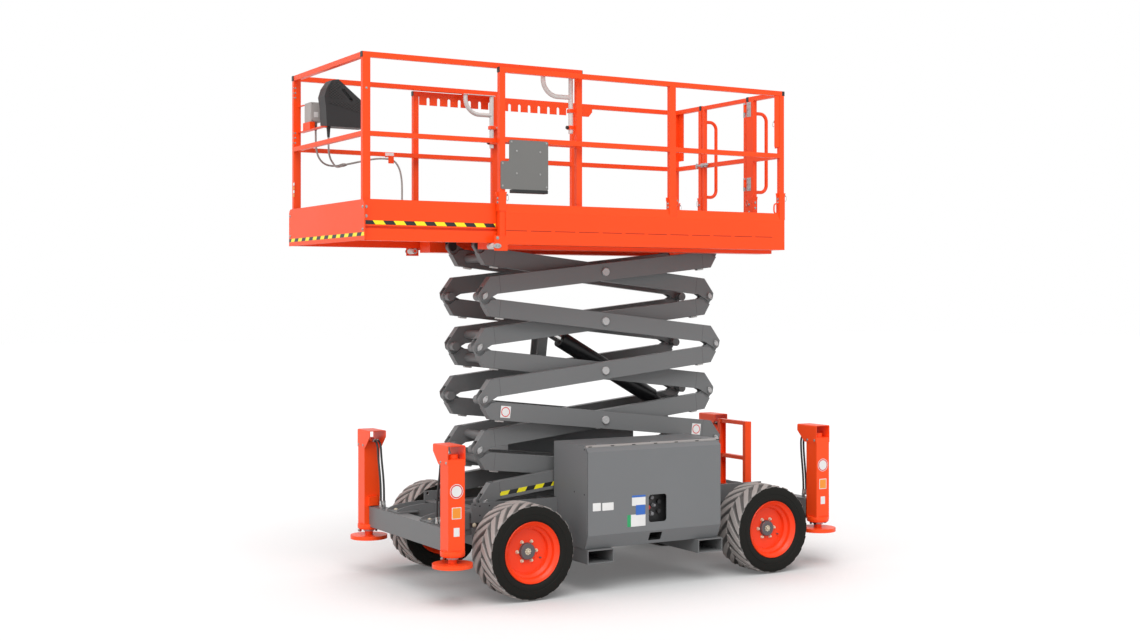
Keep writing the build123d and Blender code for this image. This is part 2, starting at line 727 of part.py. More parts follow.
# ------------------------------------------------------------------ fork pockets
pockets = []
for x in (pocket_x, -pocket_x):
    reach = cab_outer_y - 5
    x0, x1 = x - pocket_width / 2, x + pocket_width / 2
    pocket = block(x0, x1, -reach, reach, pocket_bottom, pocket_bottom + pocket_height)
    pocket -= block(x0 + pocket_wall, x1 - pocket_wall, -reach - 1, reach + 1,
                    pocket_bottom + pocket_wall, pocket_bottom + pocket_height - pocket_wall)
    for y0 in (rail_inner_y + 40, -rail_inner_y - 40 - 60):
        pocket += block(x0 + 30, x1 - 30, y0, y0 + 60, pocket_bottom + pocket_height - 1, rail_bottom - seat)
    pockets.append(pocket)
save("fork_pockets", *pockets)

# ------------------------------------------------------------------ cabinets
hinge_y = cab_outer_y - cab_shoulder
hinge_z = cab_top
side_y = rail_outer_y + side_plate + seat


def cabinet_body():
    """Top, inner wall, end walls and floor of the left cabinet, open on the outer side."""
    t = cab_sheet
    gap = cab_sheet + air
    profile = [(cab_inner_y, side_plate_top + seat), (cab_inner_y, cab_top), (hinge_y - 12, cab_top),
               (hinge_y - 12, cab_top - t - 1), (cab_outer_y - gap, cab_top - cab_shoulder - t),
               (cab_outer_y - gap, cab_bottom + cab_skirt), (cab_outer_y - cab_shoulder - gap, cab_bottom),
               (side_y, cab_bottom), (side_y, side_plate_top + seat)]
    outer = prism_x(profile, cab_rear, cab_front)
    hollow = [(cab_inner_y + t, side_plate_top + seat + t), (cab_inner_y + t, cab_top - t),
              (cab_outer_y + 50, cab_top - t), (cab_outer_y + 50, cab_bottom + t),
              (side_y + t, cab_bottom + t), (side_y + t, side_plate_top + seat + t)]
    return outer - prism_x(hollow, cab_rear + t, cab_front - t)


def hinge_ring(x0, x1):
    """A hinge eye on the cabinet's top edge."""
    ring = bar_x(hinge_y, hinge_z, 9, x0, x1)
    ring += block(x0, x1, hinge_y - 13, hinge_y, hinge_z - 9, hinge_z - 2)
    return ring - bar_x(hinge_y, hinge_z, 5 + fit, x0 - 1, x1 + 1)


def cabinet_door():
    """The outer door: upper chamfer, side and lower chamfer, with its hinge pins."""
    t = cab_sheet
    outside = [(hinge_y + 11, cab_top - 11), (cab_outer_y, cab_top - cab_shoulder),
               (cab_outer_y, cab_bottom + cab_skirt), (cab_outer_y - cab_shoulder, cab_bottom)]
    inside = [(cab_outer_y - cab_shoulder - t, cab_bottom), (cab_outer_y - t, cab_bottom + cab_skirt + 1),
              (cab_outer_y - t, cab_top - cab_shoulder - 2), (hinge_y + 11 - t * 0.7, cab_top - 11 - t * 0.7)]
    door = prism_x(outside + inside, cab_rear, cab_front)
    x0, x1 = window_x
    z0, z1 = window_z
    window = block(x0, x1, cab_outer_y - 20, cab_outer_y + 20, z0, z1)
    door -= fillet(window.edges().filter_by(Axis.Y), 22)
    slot = block(*slot_x, cab_outer_y - cab_shoulder, cab_outer_y, *slot_z)
    return door - fillet(slot.edges().filter_by(Axis.Y), 8)


cabinet = cabinet_body()
door = cabinet_door()
for x in (cab_rear + 120, (cab_rear + cab_front) / 2, cab_front - 120):
    cabinet += hinge_ring(x - 30, x + 30)
    door += bar_x(hinge_y, hinge_z, 5, x - 50, x + 50)
    for end in (-1, 1):
        a, b = sorted((x + end * 34, x + end * 50))
        tab = [(hinge_y - 4, hinge_z + 4), (hinge_y + 4, hinge_z + 4), (hinge_y + 15, hinge_z - 11),
               (hinge_y + 8, hinge_z - 16), (hinge_y - 4, hinge_z - 4)]
        door += prism_x(tab, a, b)
save("cabinet_left", cabinet)
save("cabinet_right", mirrored(cabinet))
save("cabinet_door_left", door)
right_door = mirrored(door)
save("cabinet_door_right", right_door)

# control panel behind the left door's opening, and the heavy blocks inside the cabinets
panel_y = cab_outer_y - 62
panel = block(window_x[0] - 30, window_x[1] + 30, panel_y - 40, panel_y, window_z[0] - 25, window_z[1] + 25)
panel += block(window_x[0] + 20, window_x[1] - 20, side_y + cab_sheet, panel_y - 40, window_z[0] + 60, window_z[1] - 60)
for x, z in ((-45, 540), (-45, 610), (35, 560), (35, 620)):
    panel += bar_y(x, z, 16, panel_y, panel_y + 22)
save("ground_controls", panel)
tray_z = cab_bottom + cab_sheet + seat
save("battery_pack", block(cab_rear + 60, window_x[0] - 60, side_y + 30, cab_outer_y - 110, tray_z, tray_z + 420),
     block(window_x[1] + 60, cab_front - 60, side_y + 30, cab_outer_y - 110, tray_z, tray_z + 420))
save("hydraulic_unit", block(cab_rear + 60, cab_front - 60, -cab_outer_y + 110, -side_y - 30, tray_z, tray_z + 300))

# ------------------------------------------------------------------ entry ladder
ladder_x = -1325.0
ladder_half = 190.0
ladder_top = 1098.0
stile_w = 60.0
stile_d = 36.0
stile_wall = 5.0
ladder_bottom = 430.0
ladder = None
for side in (1, -1):
    y0, y1 = sorted((side * ladder_half, side * (ladder_half - stile_d)))
    stile = block(ladder_x - stile_w / 2, ladder_x + stile_w / 2, y0, y1, ladder_bottom, ladder_top)
    web = side * (ladder_half - stile_wall)
    hollow_y = sorted((web, side * (ladder_half - stile_d - 1)))
    stile -= block(ladder_x - stile_w / 2 + stile_wall, ladder_x + stile_w / 2 - stile_wall, *hollow_y,
                   ladder_bottom - 1, ladder_top - stile_wall)
    foot = block(ladder_x + stile_w / 2 - 1, -half_rail + 1, y0, y1, rail_bottom + 5, rail_top - 5)
    ladder = stile + foot if ladder is None else ladder + stile + foot
for z in (ladder_bottom + 20, 800, ladder_top - 14):
    ladder += block(ladder_x - 22, ladder_x + 22, -ladder_half, ladder_half, z - 15, z + 15)
rear_plate = block(-half_rail - 10, -half_rail - seat, -rail_outer_y, rail_outer_y, rail_bottom, rail_top)
ladder += rear_plate
save("entry_ladder", ladder)

# ------------------------------------------------------------------ platform deck
inner_beam_y = (400.0, 580.0)
post_y = (deck_half - 42, deck_half - 6)
foot_z = deck_floor + 30
rear_sill = 42.0
sill_z = deck_floor - 3
side_posts = ((deck_front - 44, deck_front), (-240, -187), (deck_rear, deck_rear + 40))


def deck_side():
    """Left side of the deck: outer plate with its turned-in top, bottom flange and inner beam."""
    plate_profile = [(deck_half, deck_bottom), (deck_half, toe_top - 60), (deck_half - 14, toe_top),
                     (deck_half - 14 - 5, toe_top), (deck_half - 5, toe_top - 62), (deck_half - 5, deck_bottom + 5),
                     (inner_beam_y[0], deck_bottom + 5), (inner_beam_y[0], deck_bottom)]
    side = prism_x(plate_profile, deck_rear, deck_front - 44)
    side += block(deck_rear, deck_front, *inner_beam_y, deck_bottom - 26, deck_floor - deck_plate)
    for x0, x1 in side_posts:
        side -= block(x0 - seat, x1 + seat, post_y[0] - 1, post_y[1] + seat, foot_z - seat, toe_top + 1)
    return side


deck = deck_side()
deck += mirrored(deck)
deck += block(deck_rear + rear_sill, deck_front, -inner_beam_y[1] - 10, inner_beam_y[1] + 10,
              deck_floor - deck_plate, deck_floor)
deck += block(deck_rear, deck_rear + rear_sill + 1, -inner_beam_y[1] - 10, inner_beam_y[1] + 10,
              sill_z - deck_plate, sill_z)
cross_low = level(stages) + end_radius + 21
for x in (deck_rear + 30, -600, 0, 600, deck_front - 60):
    deck += block(x, x + 40, -inner_beam_y[0] - 1, inner_beam_y[0] + 1, cross_low, deck_floor - deck_plate + 1)
for side in (1, -1):
    # track for the upper slide block, and the fixed lug over the rear pin
    y0, y1 = sorted((side * (inner_arm_y - 10), side * (inner_arm_y + arm_width + 10)))
    deck += block(0, deck_front, y0, y1, track_top_z, track_top_z + 10)
    deck += block(0, deck_front, (y0 + y1) / 2 - 10, (y0 + y1) / 2 + 10, track_top_z, deck_floor - deck_plate + 1)
    gap = block_half + eye_gap
    mid = side * (outer_arm_y + arm_width / 2)
    for a, b in ((mid - gap - 9, mid - gap), (mid + gap, mid + gap + 9)):
        ear = bar_y(rear_pin_x, level(stages), 34, a, b)
        ear += block(rear_pin_x - 34, rear_pin_x + 34, a, b, level(stages), deck_floor - deck_plate + 1)
        deck += ear
    deck += bar_y(rear_pin_x, level(stages), end_pin_radius, mid - gap - 9, mid + gap + 9)
# toe boards at the rear, either side of the gate
gate_y = (-319.0, 299.0)
rear_sheet = 6.0
for y0, y1 in ((-post_y[0] + seat, gate_y[0] - 44), (gate_y[1] + 91, post_y[0] - seat)):
    deck += block(deck_rear, deck_rear + rear_sheet, y0, y1, deck_bottom, toe_top - 20)
deck += block(deck_rear, deck_rear + rear_sheet, gate_y[0] - 60, gate_y[1] + 100, deck_bottom, sill_z)
# brackets and rollers under the front edge carry the roll-out deck
roller_x = deck_front + 22
roller_r = 22.0
rollers = []
for side in (1, -1):
    y0, y1 = sorted((side * (deck_half - 5), side * deck_half))
    bracket = block(deck_front - 60, roller_x + 22, y0, y1, ext_beam_bottom - 2 * roller_r - 12, deck_bottom + 60)
    axle_z = ext_beam_bottom - seat - roller_r
    deck += bracket + bar_y(roller_x, axle_z, 10, *sorted((side * (deck_half - 120), side * (deck_half - 1))))
    wheel = bar_y(roller_x, axle_z, roller_r, *sorted((side * (deck_half - 118), side * (deck_half - 22))))
    rollers.append(wheel - bar_y(roller_x, axle_z, 10 + fit, *sorted((side * (deck_half - 140), side * deck_half))))
save("platform_deck", deck)
save("deck_rollers", *rollers)

# ------------------------------------------------------------------ main guardrails


def side_guardrail():
    """Left guardrail of the main deck."""
    guard = block(deck_rear, deck_front, *post_y, rail_top_z - tube, rail_top_z)
    guard += block(deck_rear, deck_front, *post_y, rail_mid_z - tube, rail_mid_z)
    for k, (x0, x1) in enumerate(side_posts):
        low = deck_bottom + 34 if k == 0 else foot_z
        guard += block(x0, x1, *post_y, low, rail_top_z)
    return guard


left_guard = side_guardrail()
save("guardrail_left", left_guard)
right_guard = mirrored(left_guard)
# comb of hanger slots under the right top rail
comb_front = 1210.0
comb_rear = -380.0
comb_pitch = 90.0
comb_slot = 27.0
comb_z = rail_top_z - 105
slot_top = rail_top_z - 45
comb_y = (-post_y[0] - 2, -post_y[0] + 6)
comb_outline = [(comb_rear, rail_top_z - 4), (comb_front - 18, rail_top_z - 4), (comb_front - 18, comb_z),
                (comb_rear + 34, comb_z), (comb_rear, slot_top - 20)]
comb = prism_y(comb_outline, *comb_y)
slot_count = int((comb_front - comb_rear - 80) / comb_pitch)
for n in range(slot_count):
    x = comb_front - 80 - n * comb_pitch - comb_slot / 2
    comb -= block(x - comb_slot / 2, x + comb_slot / 2, comb_y[0] - 1, comb_y[1] + 1, comb_z - 1,
                  slot_top - comb_slot / 2)
    comb -= bar_y(x, slot_top - comb_slot / 2, comb_slot / 2, comb_y[0] - 1, comb_y[1] + 1)
save("guardrail_right", right_guard + comb)

# rear guardrail: short panels either side of the gate
post_sets = ((gate_y[0] - 44, gate_y[0]), (gate_y[1], gate_y[1] + 91))
rear_x = (deck_rear, deck_rear + tube)
grab_z = (rail_top_z - 760, rail_top_z - 130)
guards = []
for y0, y1, post in ((-post_y[0], gate_y[0], post_sets[0]), (gate_y[1], post_y[0], post_sets[1])):
    ya = max(y0, -post_y[0])
    panel_guard = block(*rear_x, post[0], post[1], foot_z, rail_top_z)
    panel_guard += block(*rear_x, ya, y1, rail_top_z - tube, rail_top_z)
    panel_guard += block(*rear_x, ya, y1, rail_mid_z - tube, rail_mid_z)
    panel_guard += block(*rear_x, *post, sill_z, foot_z)
    corner = (-post_y[0], -post_y[0] + 73) if y1 < 0 else (post_y[0] - 73, post_y[0])
    panel_guard += block(deck_rear, deck_rear + 6, *corner, rail_mid_z + 50, rail_top_z - tube + 1)
    # grab handle: a round bar bent to a D on the post
    grab_y = (post[0] + post[1]) / 2
    x_out = deck_rear - 130
    path = FilletPolyline((deck_rear + 4, grab_y, grab_z[1]), (x_out, grab_y, grab_z[1]),
                          (x_out, grab_y, grab_z[0]), (deck_rear + 4, grab_y, grab_z[0]), radius=60)
    panel_guard += sweep(Plane(origin=path @ 0, z_dir=path % 0) * Circle(14), path=path)
    guards.append(panel_guard)
gate_axis_x = deck_rear + 48
gate_axis_y = gate_y[1] - 4
gate_hinges = (rail_top_z - 720, rail_top_z - 120)
for z in gate_hinges:
    ring = bar_z(gate_axis_x, gate_axis_y, 9, z, z + 40)
    ring += block(rear_x[1] - 2, gate_axis_x + 2, gate_axis_y + 2, gate_axis_y + 9, z, z + 40)
    guards[1] += ring - bar_z(gate_axis_x, gate_axis_y, 5 + fit, z - 1, z + 41)
save("guardrail_rear", *guards)

# gate between the post pairs, hinged on the left pair and swinging inwards
gate_gap = 8.0
hinge_gate_y = gate_y[1] - gate_gap / 2
gate_x = (deck_rear + 4, deck_rear + 34)
g0, g1 = gate_y[0] + gate_gap, gate_y[1] - gate_gap
gate = block(*gate_x, g0, g1, rail_top_z - tube, rail_top_z - 4)
gate += block(*gate_x, g0, g1, rail_mid_z - tube, rail_mid_z)
gate += block(*gate_x, g0, g0 + 30, deck_floor + 12, rail_top_z - 4)
gate += block(*gate_x, g1 - 30, g1, deck_floor + 12, rail_top_z - 4)
gate += block(gate_x[0], gate_x[0] + 5, g0, g1, deck_floor + 12, toe_top - 10)
for z in gate_hinges:
    gate += bar_z(gate_axis_x, gate_axis_y, 5, z - 2, z + 62)
    gate += block(gate_x[1] - 1, gate_axis_x + 3, gate_axis_y - 12, gate_axis_y - 1, z + 42, z + 62)
save("entry_gate", gate)

# ------------------------------------------------------------------ roll-out deck
beam_y = (ext_half - ext_beam_width, ext_half)
ext_side = block(ext_rear, ext_front - 8, *beam_y, ext_beam_bottom, ext_beam_bottom + ext_beam_height)
ext_side -= block(ext_rear - 1, ext_front - 12, beam_y[0] + 5, beam_y[1] - 5, ext_beam_bottom + 5,
                  ext_beam_bottom + ext_beam_height - 5)
ext_side += block(ext_rear, ext_front - 8, beam_y[1] - 22, beam_y[1] - 14, ext_beam_bottom + ext_beam_height - 1, ext_floor)
ext_side += block(ext_rear, ext_front - 8, beam_y[1] - ext_plate, beam_y[1], ext_beam_bottom + ext_beam_height + 16, ext_toe_top)
ext_deck = ext_side + mirrored(ext_side)
ext_deck += block(ext_rear, ext_front - 8, -ext_half, ext_half, ext_floor - 8, ext_floor)
front_plate = block(ext_front - 8, ext_front, -ext_half - 41, ext_half + 41, ext_beam_bottom, ext_toe_top - 4)
front_plate = fillet(front_plate.edges().filter_by(Axis.X).sort_by(Axis.Z)[-2:], 40)
ext_deck += front_plate
grommet_x, grommet_y = (1368.0, -620.0)
grommet_height = 14.0
ext_deck += bar_z(grommet_x, grommet_y, 14, ext_floor - 1, ext_floor + grommet_height)
save("rollout_deck", ext_deck)

ext_post_y = (ext_half - 39, ext_half - ext_plate - 1)
ext_posts = ((ext_rear, ext_rear + 46), (ext_front - 63, ext_front - 8))


def rollout_side():
    """Left guardrail of the roll-out deck."""
    guard = block(ext_rear, ext_front - 8, *ext_post_y, ext_rail_top - tube, ext_rail_top)
    guard += block(ext_rear, ext_front - 8, *ext_post_y, ext_rail_mid - 32, ext_rail_mid)
    for x0, x1 in ext_posts:
        guard += block(x0, x1, *ext_post_y, ext_floor + seat, ext_rail_top)
    return guard


rollout = rollout_side()
rollout += mirrored(rollout)
rollout += block(ext_front - 44, ext_front - 8, -ext_post_y[1], ext_post_y[1], ext_rail_top - tube, ext_rail_top)
rollout += block(ext_front - 40, ext_front - 8, -ext_post_y[1], ext_post_y[1], ext_rail_mid - 32, ext_rail_mid)
# bracket that carries the control box and the junction box, from the right front post
shelf_top = ext_rail_mid + 113
riser_top = shelf_top + 56
shelf_x = (ext_front - 83, ext_front - 40)
rollout += block(*shelf_x, -ext_post_y[0] - 1, -160, shelf_top - 6, shelf_top)
rollout += block(shelf_x[0], shelf_x[1] - 4, -545, -405, shelf_top - 1, riser_top)
rollout += block(shelf_x[0] + 20, shelf_x[1] - 4, -ext_post_y[0] - 1, -538, riser_top + 130, riser_top + 136)
# clip for the cables, below the right mid rail
clip_x = (1452.0, 1496.0)
rollout += block(*clip_x, -ext_post_y[0] - 22, -594, ext_rail_mid - 38, ext_rail_mid - 31)
rollout += block(*clip_x, -600, -594, ext_rail_mid - 89, ext_rail_mid - 31)
save("rollout_guardrail", rollout)

box_front = ext_front - 77
box_foot = shelf_top + seat
# side of the control box, from its front foot round to its sloping rear: distance behind the front, height
box_side = ((0, 0), (-8, 140), (-19, 214), (0, 274), (39, 331), (88, 340), (294, 175), (294, 0))
box_y = (-277.0, -150.0)
control_box = prism_y([(box_front - back, box_foot + up) for back, up in box_side], *box_y)
handle_centre = (box_front - 155, box_foot + 231.5)
handle = Pos(handle_centre[0], sum(box_y) / 2, handle_centre[1]) * Rot(0, -47, 0) * \
    Box(118, 200, 25)
control_box -= fillet(handle.edges().filter_by(Axis.Y), 12)
boot_x, boot_y = (2135.0, -200.0)
boot_end = box_foot - 75
boot = Pos(boot_x, boot_y, box_foot - 37) * Rot(180, 0, 0) * Cone(15, 9, 76)
save("control_box", control_box + boot)
junction = block(ext_front - 138, ext_front - 53, -535, -410, riser_top + seat, riser_top + 143)
gland_x, gland_y = (2132.0, -462.0)
gland_end = riser_top - 30
junction += bar_z(gland_x, gland_y, 12, gland_end, riser_top + 1)
save("junction_box", junction)

# cables from the two boxes, joined before the clip, and down through a grommet in the floor
cable_radius = 7.0
route_a = [(gland_x, gland_y, gland_end), (gland_x, gland_y, 3275), (2129, -464, 3195), (2104, -474, 3127),
           (2046, -498, 3086), (1966, -526, 3080), (1868, -556, 3098), (1756, -588, 3124),
           (1640, -612, 3153), (1540, -620, 3167), (1440, -622, 3161), (1394, -621, 3100),
           (1376, -620, 3022), (1371, -622, 2935), (1373, -621, 2820), (grommet_x, grommet_y, 2710),
           (grommet_x, grommet_y, ext_floor + grommet_height)]
save("control_cable_a", tube_along(route_a, cable_radius))
route_b = [(boot_x, boot_y, boot_end), (boot_x, boot_y, 3200), (2122, -228, 3145), (2085, -285, 3105),
           (2030, -368, 3083), (1975, -470, 3072), (1925, -515, 3076), (1898, -531, 3086)]
save("control_cable_b", tube_along(route_b, cable_radius))

# grey grip tubes of the roll-out deck: an upright clamped to the rear post, with a curved brace in front
grip_x = 600.0
grip_y = 620.0
grip_radius = 17.0
grip_bottom = ext_rail_top - 456
grip_top = ext_rail_top - tube - 8
brace_z = ext_rail_top - 196
brace_reach = 230.0
brace_bend = 120.0
grips = []
for side in (1, -1):
    y = side * grip_y
    grip = bar_z(grip_x, y, grip_radius, grip_bottom, grip_top)
    path = FilletPolyline((grip_x, y, brace_z), (grip_x + brace_reach, y, brace_z),
                          (grip_x + brace_reach, y, grip_top), radius=brace_bend)
    grip += sweep(Plane(origin=path @ 0, z_dir=path % 0) * Circle(grip_radius), path=path)
    clamp_y = sorted((side * (grip_y - 21), side * (ext_post_y[0] - seat)))
    for z in (grip_bottom + 30, brace_z - 110):
        grip += block(ext_rear + 8, grip_x + 20, *clamp_y, z, z + 26)
    plate_x = (grip_x - 24, grip_x + brace_reach + 24)
    grip += block(*plate_x, *clamp_y, grip_top - 2, grip_top + 4)
    grips.append(grip)
save("rollout_grips", *grips)

# notched plate and tray on the left mid rail
plate_y = (post_y[1], post_y[1] + 8)
plate_bottom = toe_top + 101
plate_top = rail_mid_z - 18
step_z = plate_bottom + (plate_top - plate_bottom) * 195 / 346
plate_outline = [(deck_front - 383, plate_bottom), (deck_front - 5, plate_bottom), (deck_front - 5, step_z),
                 (deck_front - 73, step_z), (deck_front - 73, plate_top), (deck_front - 383, plate_top)]
plate = prism_y(plate_outline, *plate_y)
plate = fillet(plate.edges().filter_by(Axis.Y), 12)
tray_x = (deck_front - 380, deck_front - 103)
plate += block(*tray_x, plate_y[0] - 46, plate_y[1], plate_bottom - 21, plate_bottom + 1)
save("tool_plate", plate)
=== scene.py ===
import math

import bmesh
import bpy
import numpy as np
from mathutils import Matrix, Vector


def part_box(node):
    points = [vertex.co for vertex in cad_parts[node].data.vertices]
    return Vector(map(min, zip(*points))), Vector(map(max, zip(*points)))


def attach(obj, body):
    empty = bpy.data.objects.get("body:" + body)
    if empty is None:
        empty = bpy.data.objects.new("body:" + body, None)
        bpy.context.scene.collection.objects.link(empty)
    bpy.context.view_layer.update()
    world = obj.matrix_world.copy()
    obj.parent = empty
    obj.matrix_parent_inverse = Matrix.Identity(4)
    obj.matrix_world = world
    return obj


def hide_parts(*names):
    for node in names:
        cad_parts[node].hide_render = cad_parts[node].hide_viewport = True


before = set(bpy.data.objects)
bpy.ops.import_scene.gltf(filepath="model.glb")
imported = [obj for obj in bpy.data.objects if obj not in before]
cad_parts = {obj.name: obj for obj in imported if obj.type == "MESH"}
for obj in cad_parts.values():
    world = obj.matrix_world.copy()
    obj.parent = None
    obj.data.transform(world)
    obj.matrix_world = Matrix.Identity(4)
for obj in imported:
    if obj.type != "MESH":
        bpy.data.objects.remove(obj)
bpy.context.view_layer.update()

# ------------------------------------------------------------------ camera, floor and light
# The machine stands on a pale studio floor under an even white sky. A broad lamp high in front of its
# left side gives the shading, and a weaker one from the front end opens the shadows.
camera = bpy.data.objects.new("camera", bpy.data.cameras.new("camera"))
camera.location = (6.117, 9.999, 2.106)
camera.rotation_euler = (math.radians(90), 0, math.radians(149.562))
camera.data.lens = 47.56
camera.data.sensor_width = 36.0
camera.data.shift_y = -0.0201
bpy.context.scene.collection.objects.link(camera)
bpy.context.scene.camera = camera
bpy.context.scene.view_settings.view_transform = "Standard"


def add(tree, kind, inputs=None, out=0, **settings):
    """One shader node with its settings. Inputs are values, or sockets to link. Gives one output."""
    node = tree.nodes.new("ShaderNode" + kind)
    for key, value in settings.items():
        setattr(node, key, value)
    for key, value in (inputs or {}).items():
        if isinstance(value, bpy.types.NodeSocket):
            tree.links.new(value, node.inputs[key])
        else:
            node.inputs[key].default_value = value
    return node.outputs[out]


def shader_of(name):
    """A new material, its node tree, and its Principled shader."""
    material = bpy.data.materials.new(name)
    material.use_nodes = True
    return material, material.node_tree, material.node_tree.nodes["Principled BSDF"]


def feed(tree, shader, **sockets):
    """Links sockets to the shader's inputs, named with _ for a space."""
    for key, socket in sockets.items():
        tree.links.new(socket, shader.inputs[key.replace("_", " ")])


def lamp(name, direction, strength, spread):
    """A distant lamp that shines from a direction, with soft edges to its shadows."""
    data = bpy.data.lights.new(name, "SUN")
    data.energy = strength
    data.angle = math.radians(spread)
    obj = bpy.data.objects.new(name, data)
    x, y, z = direction
    obj.rotation_euler = (math.atan2(math.hypot(x, y), z), 0, math.atan2(y, x) + math.pi / 2)
    bpy.context.scene.collection.objects.link(obj)


lamp("broad_lamp", (0.35, 0.75, 0.95), 1.75, 40)
lamp("front_lamp", (0.95, 0.25, 0.35), 0.75, 60)

world = bpy.data.worlds.new("studio")
bpy.context.scene.world = world
world.use_nodes = True
sky = world.node_tree
# the sky is white to the camera and to glossy and clear surfaces, and dimmer as a light
seen = add(sky, "LightPath")
for glossy_or_clear in (3, 6):
    seen = add(sky, "Math", {0: seen, 1: add(sky, "LightPath", out=glossy_or_clear)}, operation="MAXIMUM")
level = add(sky, "MapRange", {"Value": seen, "To Min": 0.58, "To Max": 1.0})
sky.nodes["Background"].inputs["Color"].default_value = (1, 1, 1, 1)
sky.links.new(level, sky.nodes["Background"].inputs["Strength"])

floor_mesh = bpy.data.meshes.new("floor")
reach = 60.0
floor_mesh.from_pydata([(-reach, -reach, 0), (reach, -reach, 0), (reach, reach, 0), (-reach, reach, 0)], [],
                       [(0, 1, 2, 3)])
floor = bpy.data.objects.new("floor", floor_mesh)
bpy.context.scene.collection.objects.link(floor)
# the floor is painted darker beneath and close to the machine, by how little open sky it sees there: a
# painted shadow. A little white of its own lifts it for the camera
pale_floor, tree, shader = shader_of("pale_floor")
near = add(tree, "AmbientOcclusion", {"Distance": 1.3}, out=1, samples=12)
painted_floor_shadow = add(tree, "MapRange",
            {"Value": near, "From Min": 0.25, "From Max": 0.92, "To Min": 0.34, "To Max": 0.88})
shader.inputs["Roughness"].default_value = 0.9
shader.inputs["Specular IOR Level"].default_value = 0.0
shader.inputs["Emission Color"].default_value = (1, 1, 1, 1)
own_white = add(tree, "Math", {0: add(tree, "LightPath"), 1: 0.12}, operation="MULTIPLY")
feed(tree, shader, Emission_Strength=own_white, Base_Color=painted_floor_shadow)
floor_mesh.materials.append(pale_floor)

# ------------------------------------------------------------------ hoses and control cables
# Two rubber hoses feed each jack from the chassis, held by crimped ferrules and nuts at both ends. Two grey
# jacketed cables run from the control boxes along the right mid rail, and meet in a moulded sleeve.
hose_width = 0.016
cable_width = 0.014
corners = (("front_left", 1, 1), ("front_right", 1, -1), ("rear_left", -1, 1), ("rear_right", -1, -1))


def jacket(name, colour, roughness, weave):
    """Extruded rubber or plastic, a little cloudy, with the faint print of its wrapping."""
    material, tree, shader = shader_of(name)
    place = add(tree, "TexCoord", out=3)
    cloud = add(tree, "TexNoise", {"Vector": place, "Scale": 24.0, "Detail": 4.0})
    dark = [0.78 * c for c in colour] + [1]
    shade = add(tree, "Mix", {0: cloud, 6: dark, 7: list(colour) + [1]}, out=2, data_type="RGBA")
    wrap = add(tree, "TexNoise", {"Vector": place, "Scale": weave, "Detail": 1.0})
    bump = add(tree, "Bump", {"Strength": 0.3, "Distance": 0.0004, "Height": wrap})
    feed(tree, shader, Base_Color=shade, Normal=bump)
    shader.inputs["Roughness"].default_value = roughness
    return material


def free_line(name, points, width, material, body):
    """A round cord along a smooth NURBS line that its points draw towards them."""
    data = bpy.data.curves.new(name, "CURVE")
    data.dimensions = "3D"
    spline = data.splines.new("NURBS")
    spline.points.add(len(points) - 1)
    for point, place in zip(spline.points, points):
        point.co = (*place, 1)
    spline.order_u = 3
    spline.use_endpoint_u = True
    spline.resolution_u = 14
    data.bevel_depth = width / 2
    data.bevel_resolution = 5
    data.use_fill_caps = True
    data.materials.append(material)
    obj = bpy.data.objects.new(name, data)
    bpy.context.scene.collection.objects.link(obj)
    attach(obj, body)
    return obj


def grid_faces(rows, columns, closed_rows=False, closed_columns=False):
    """The quads of a grid of points numbered row by row, joined round where it is closed."""
    r, c = np.meshgrid(np.arange(rows - (not closed_rows)), np.arange(columns - (not closed_columns)),
                       indexing="ij")
    r2, c2 = (r + 1) % rows, (c + 1) % columns
    quads = np.stack([r * columns + c, r2 * columns + c, r2 * columns + c2, r * columns + c2], -1)
    return quads.reshape(-1, 4).tolist()


def turned(profile, count=40, closed=False):
    """Surface of revolution about Y. A profile point, a along Y and r out, goes to (r cos t, a, r sin t)."""
    a, r = np.asarray(profile, float).T
    t = np.arange(count) * 2 * np.pi / count
    points = np.stack([np.outer(r, np.cos(t)), np.outer(a, np.ones(count)), np.outer(r, np.sin(t))], -1)
    return points.reshape(-1, 3), grid_faces(len(a), count, closed, True)


def moved(part, place):
    """A part shifted to a place."""
    return np.asarray(part[0]) + np.asarray(place, float), part[1]


def pointed(part, way):
    """A part turned about Y, with its axis swung to any direction."""
    way = np.asarray(way, float) / np.linalg.norm(way)
    side = np.cross(way, (0, 0, 1)) if abs(way[2]) < 0.9 else np.cross(way, (1, 0, 0))
    side /= np.linalg.norm(side)
    return np.asarray(part[0]) @ np.array([side, way, np.cross(side, way)]), part[1]


def joined(*parts):
    """Several parts as one."""
    points, faces, start = [], [], 0
    for p, f in parts:
        points.append(np.asarray(p))
        faces += [[i + start for i in face] for face in f]
        start += len(p)
    return np.concatenate(points), faces


def repeated(part, places):
    """The same part at each of the places."""
    return joined(*[moved(part, place) for place in places])


def piece(name, part, material, body, smooth=35):
    """A mesh object made of a part. Doubled points are merged, faces turned outwards, and edges sharper than
    the smooth angle kept. It rides on a body."""
    mesh = bpy.data.meshes.new(name)
    mesh.from_pydata(np.asarray(part[0]).tolist(), [], part[1])
    shape = bmesh.new()
    shape.from_mesh(mesh)
    bmesh.ops.remove_doubles(shape, verts=shape.verts, dist=1e-6)
    bmesh.ops.recalc_face_normals(shape, faces=shape.faces)
    shape.to_mesh(mesh)
    shape.free()
    mesh.shade_smooth()
    mesh.set_sharp_from_angle(angle=math.radians(smooth))
    mesh.materials.append(material)
    obj = bpy.data.objects.new(name, mesh)
    bpy.context.scene.collection.objects.link(obj)
    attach(obj, body)
    return obj


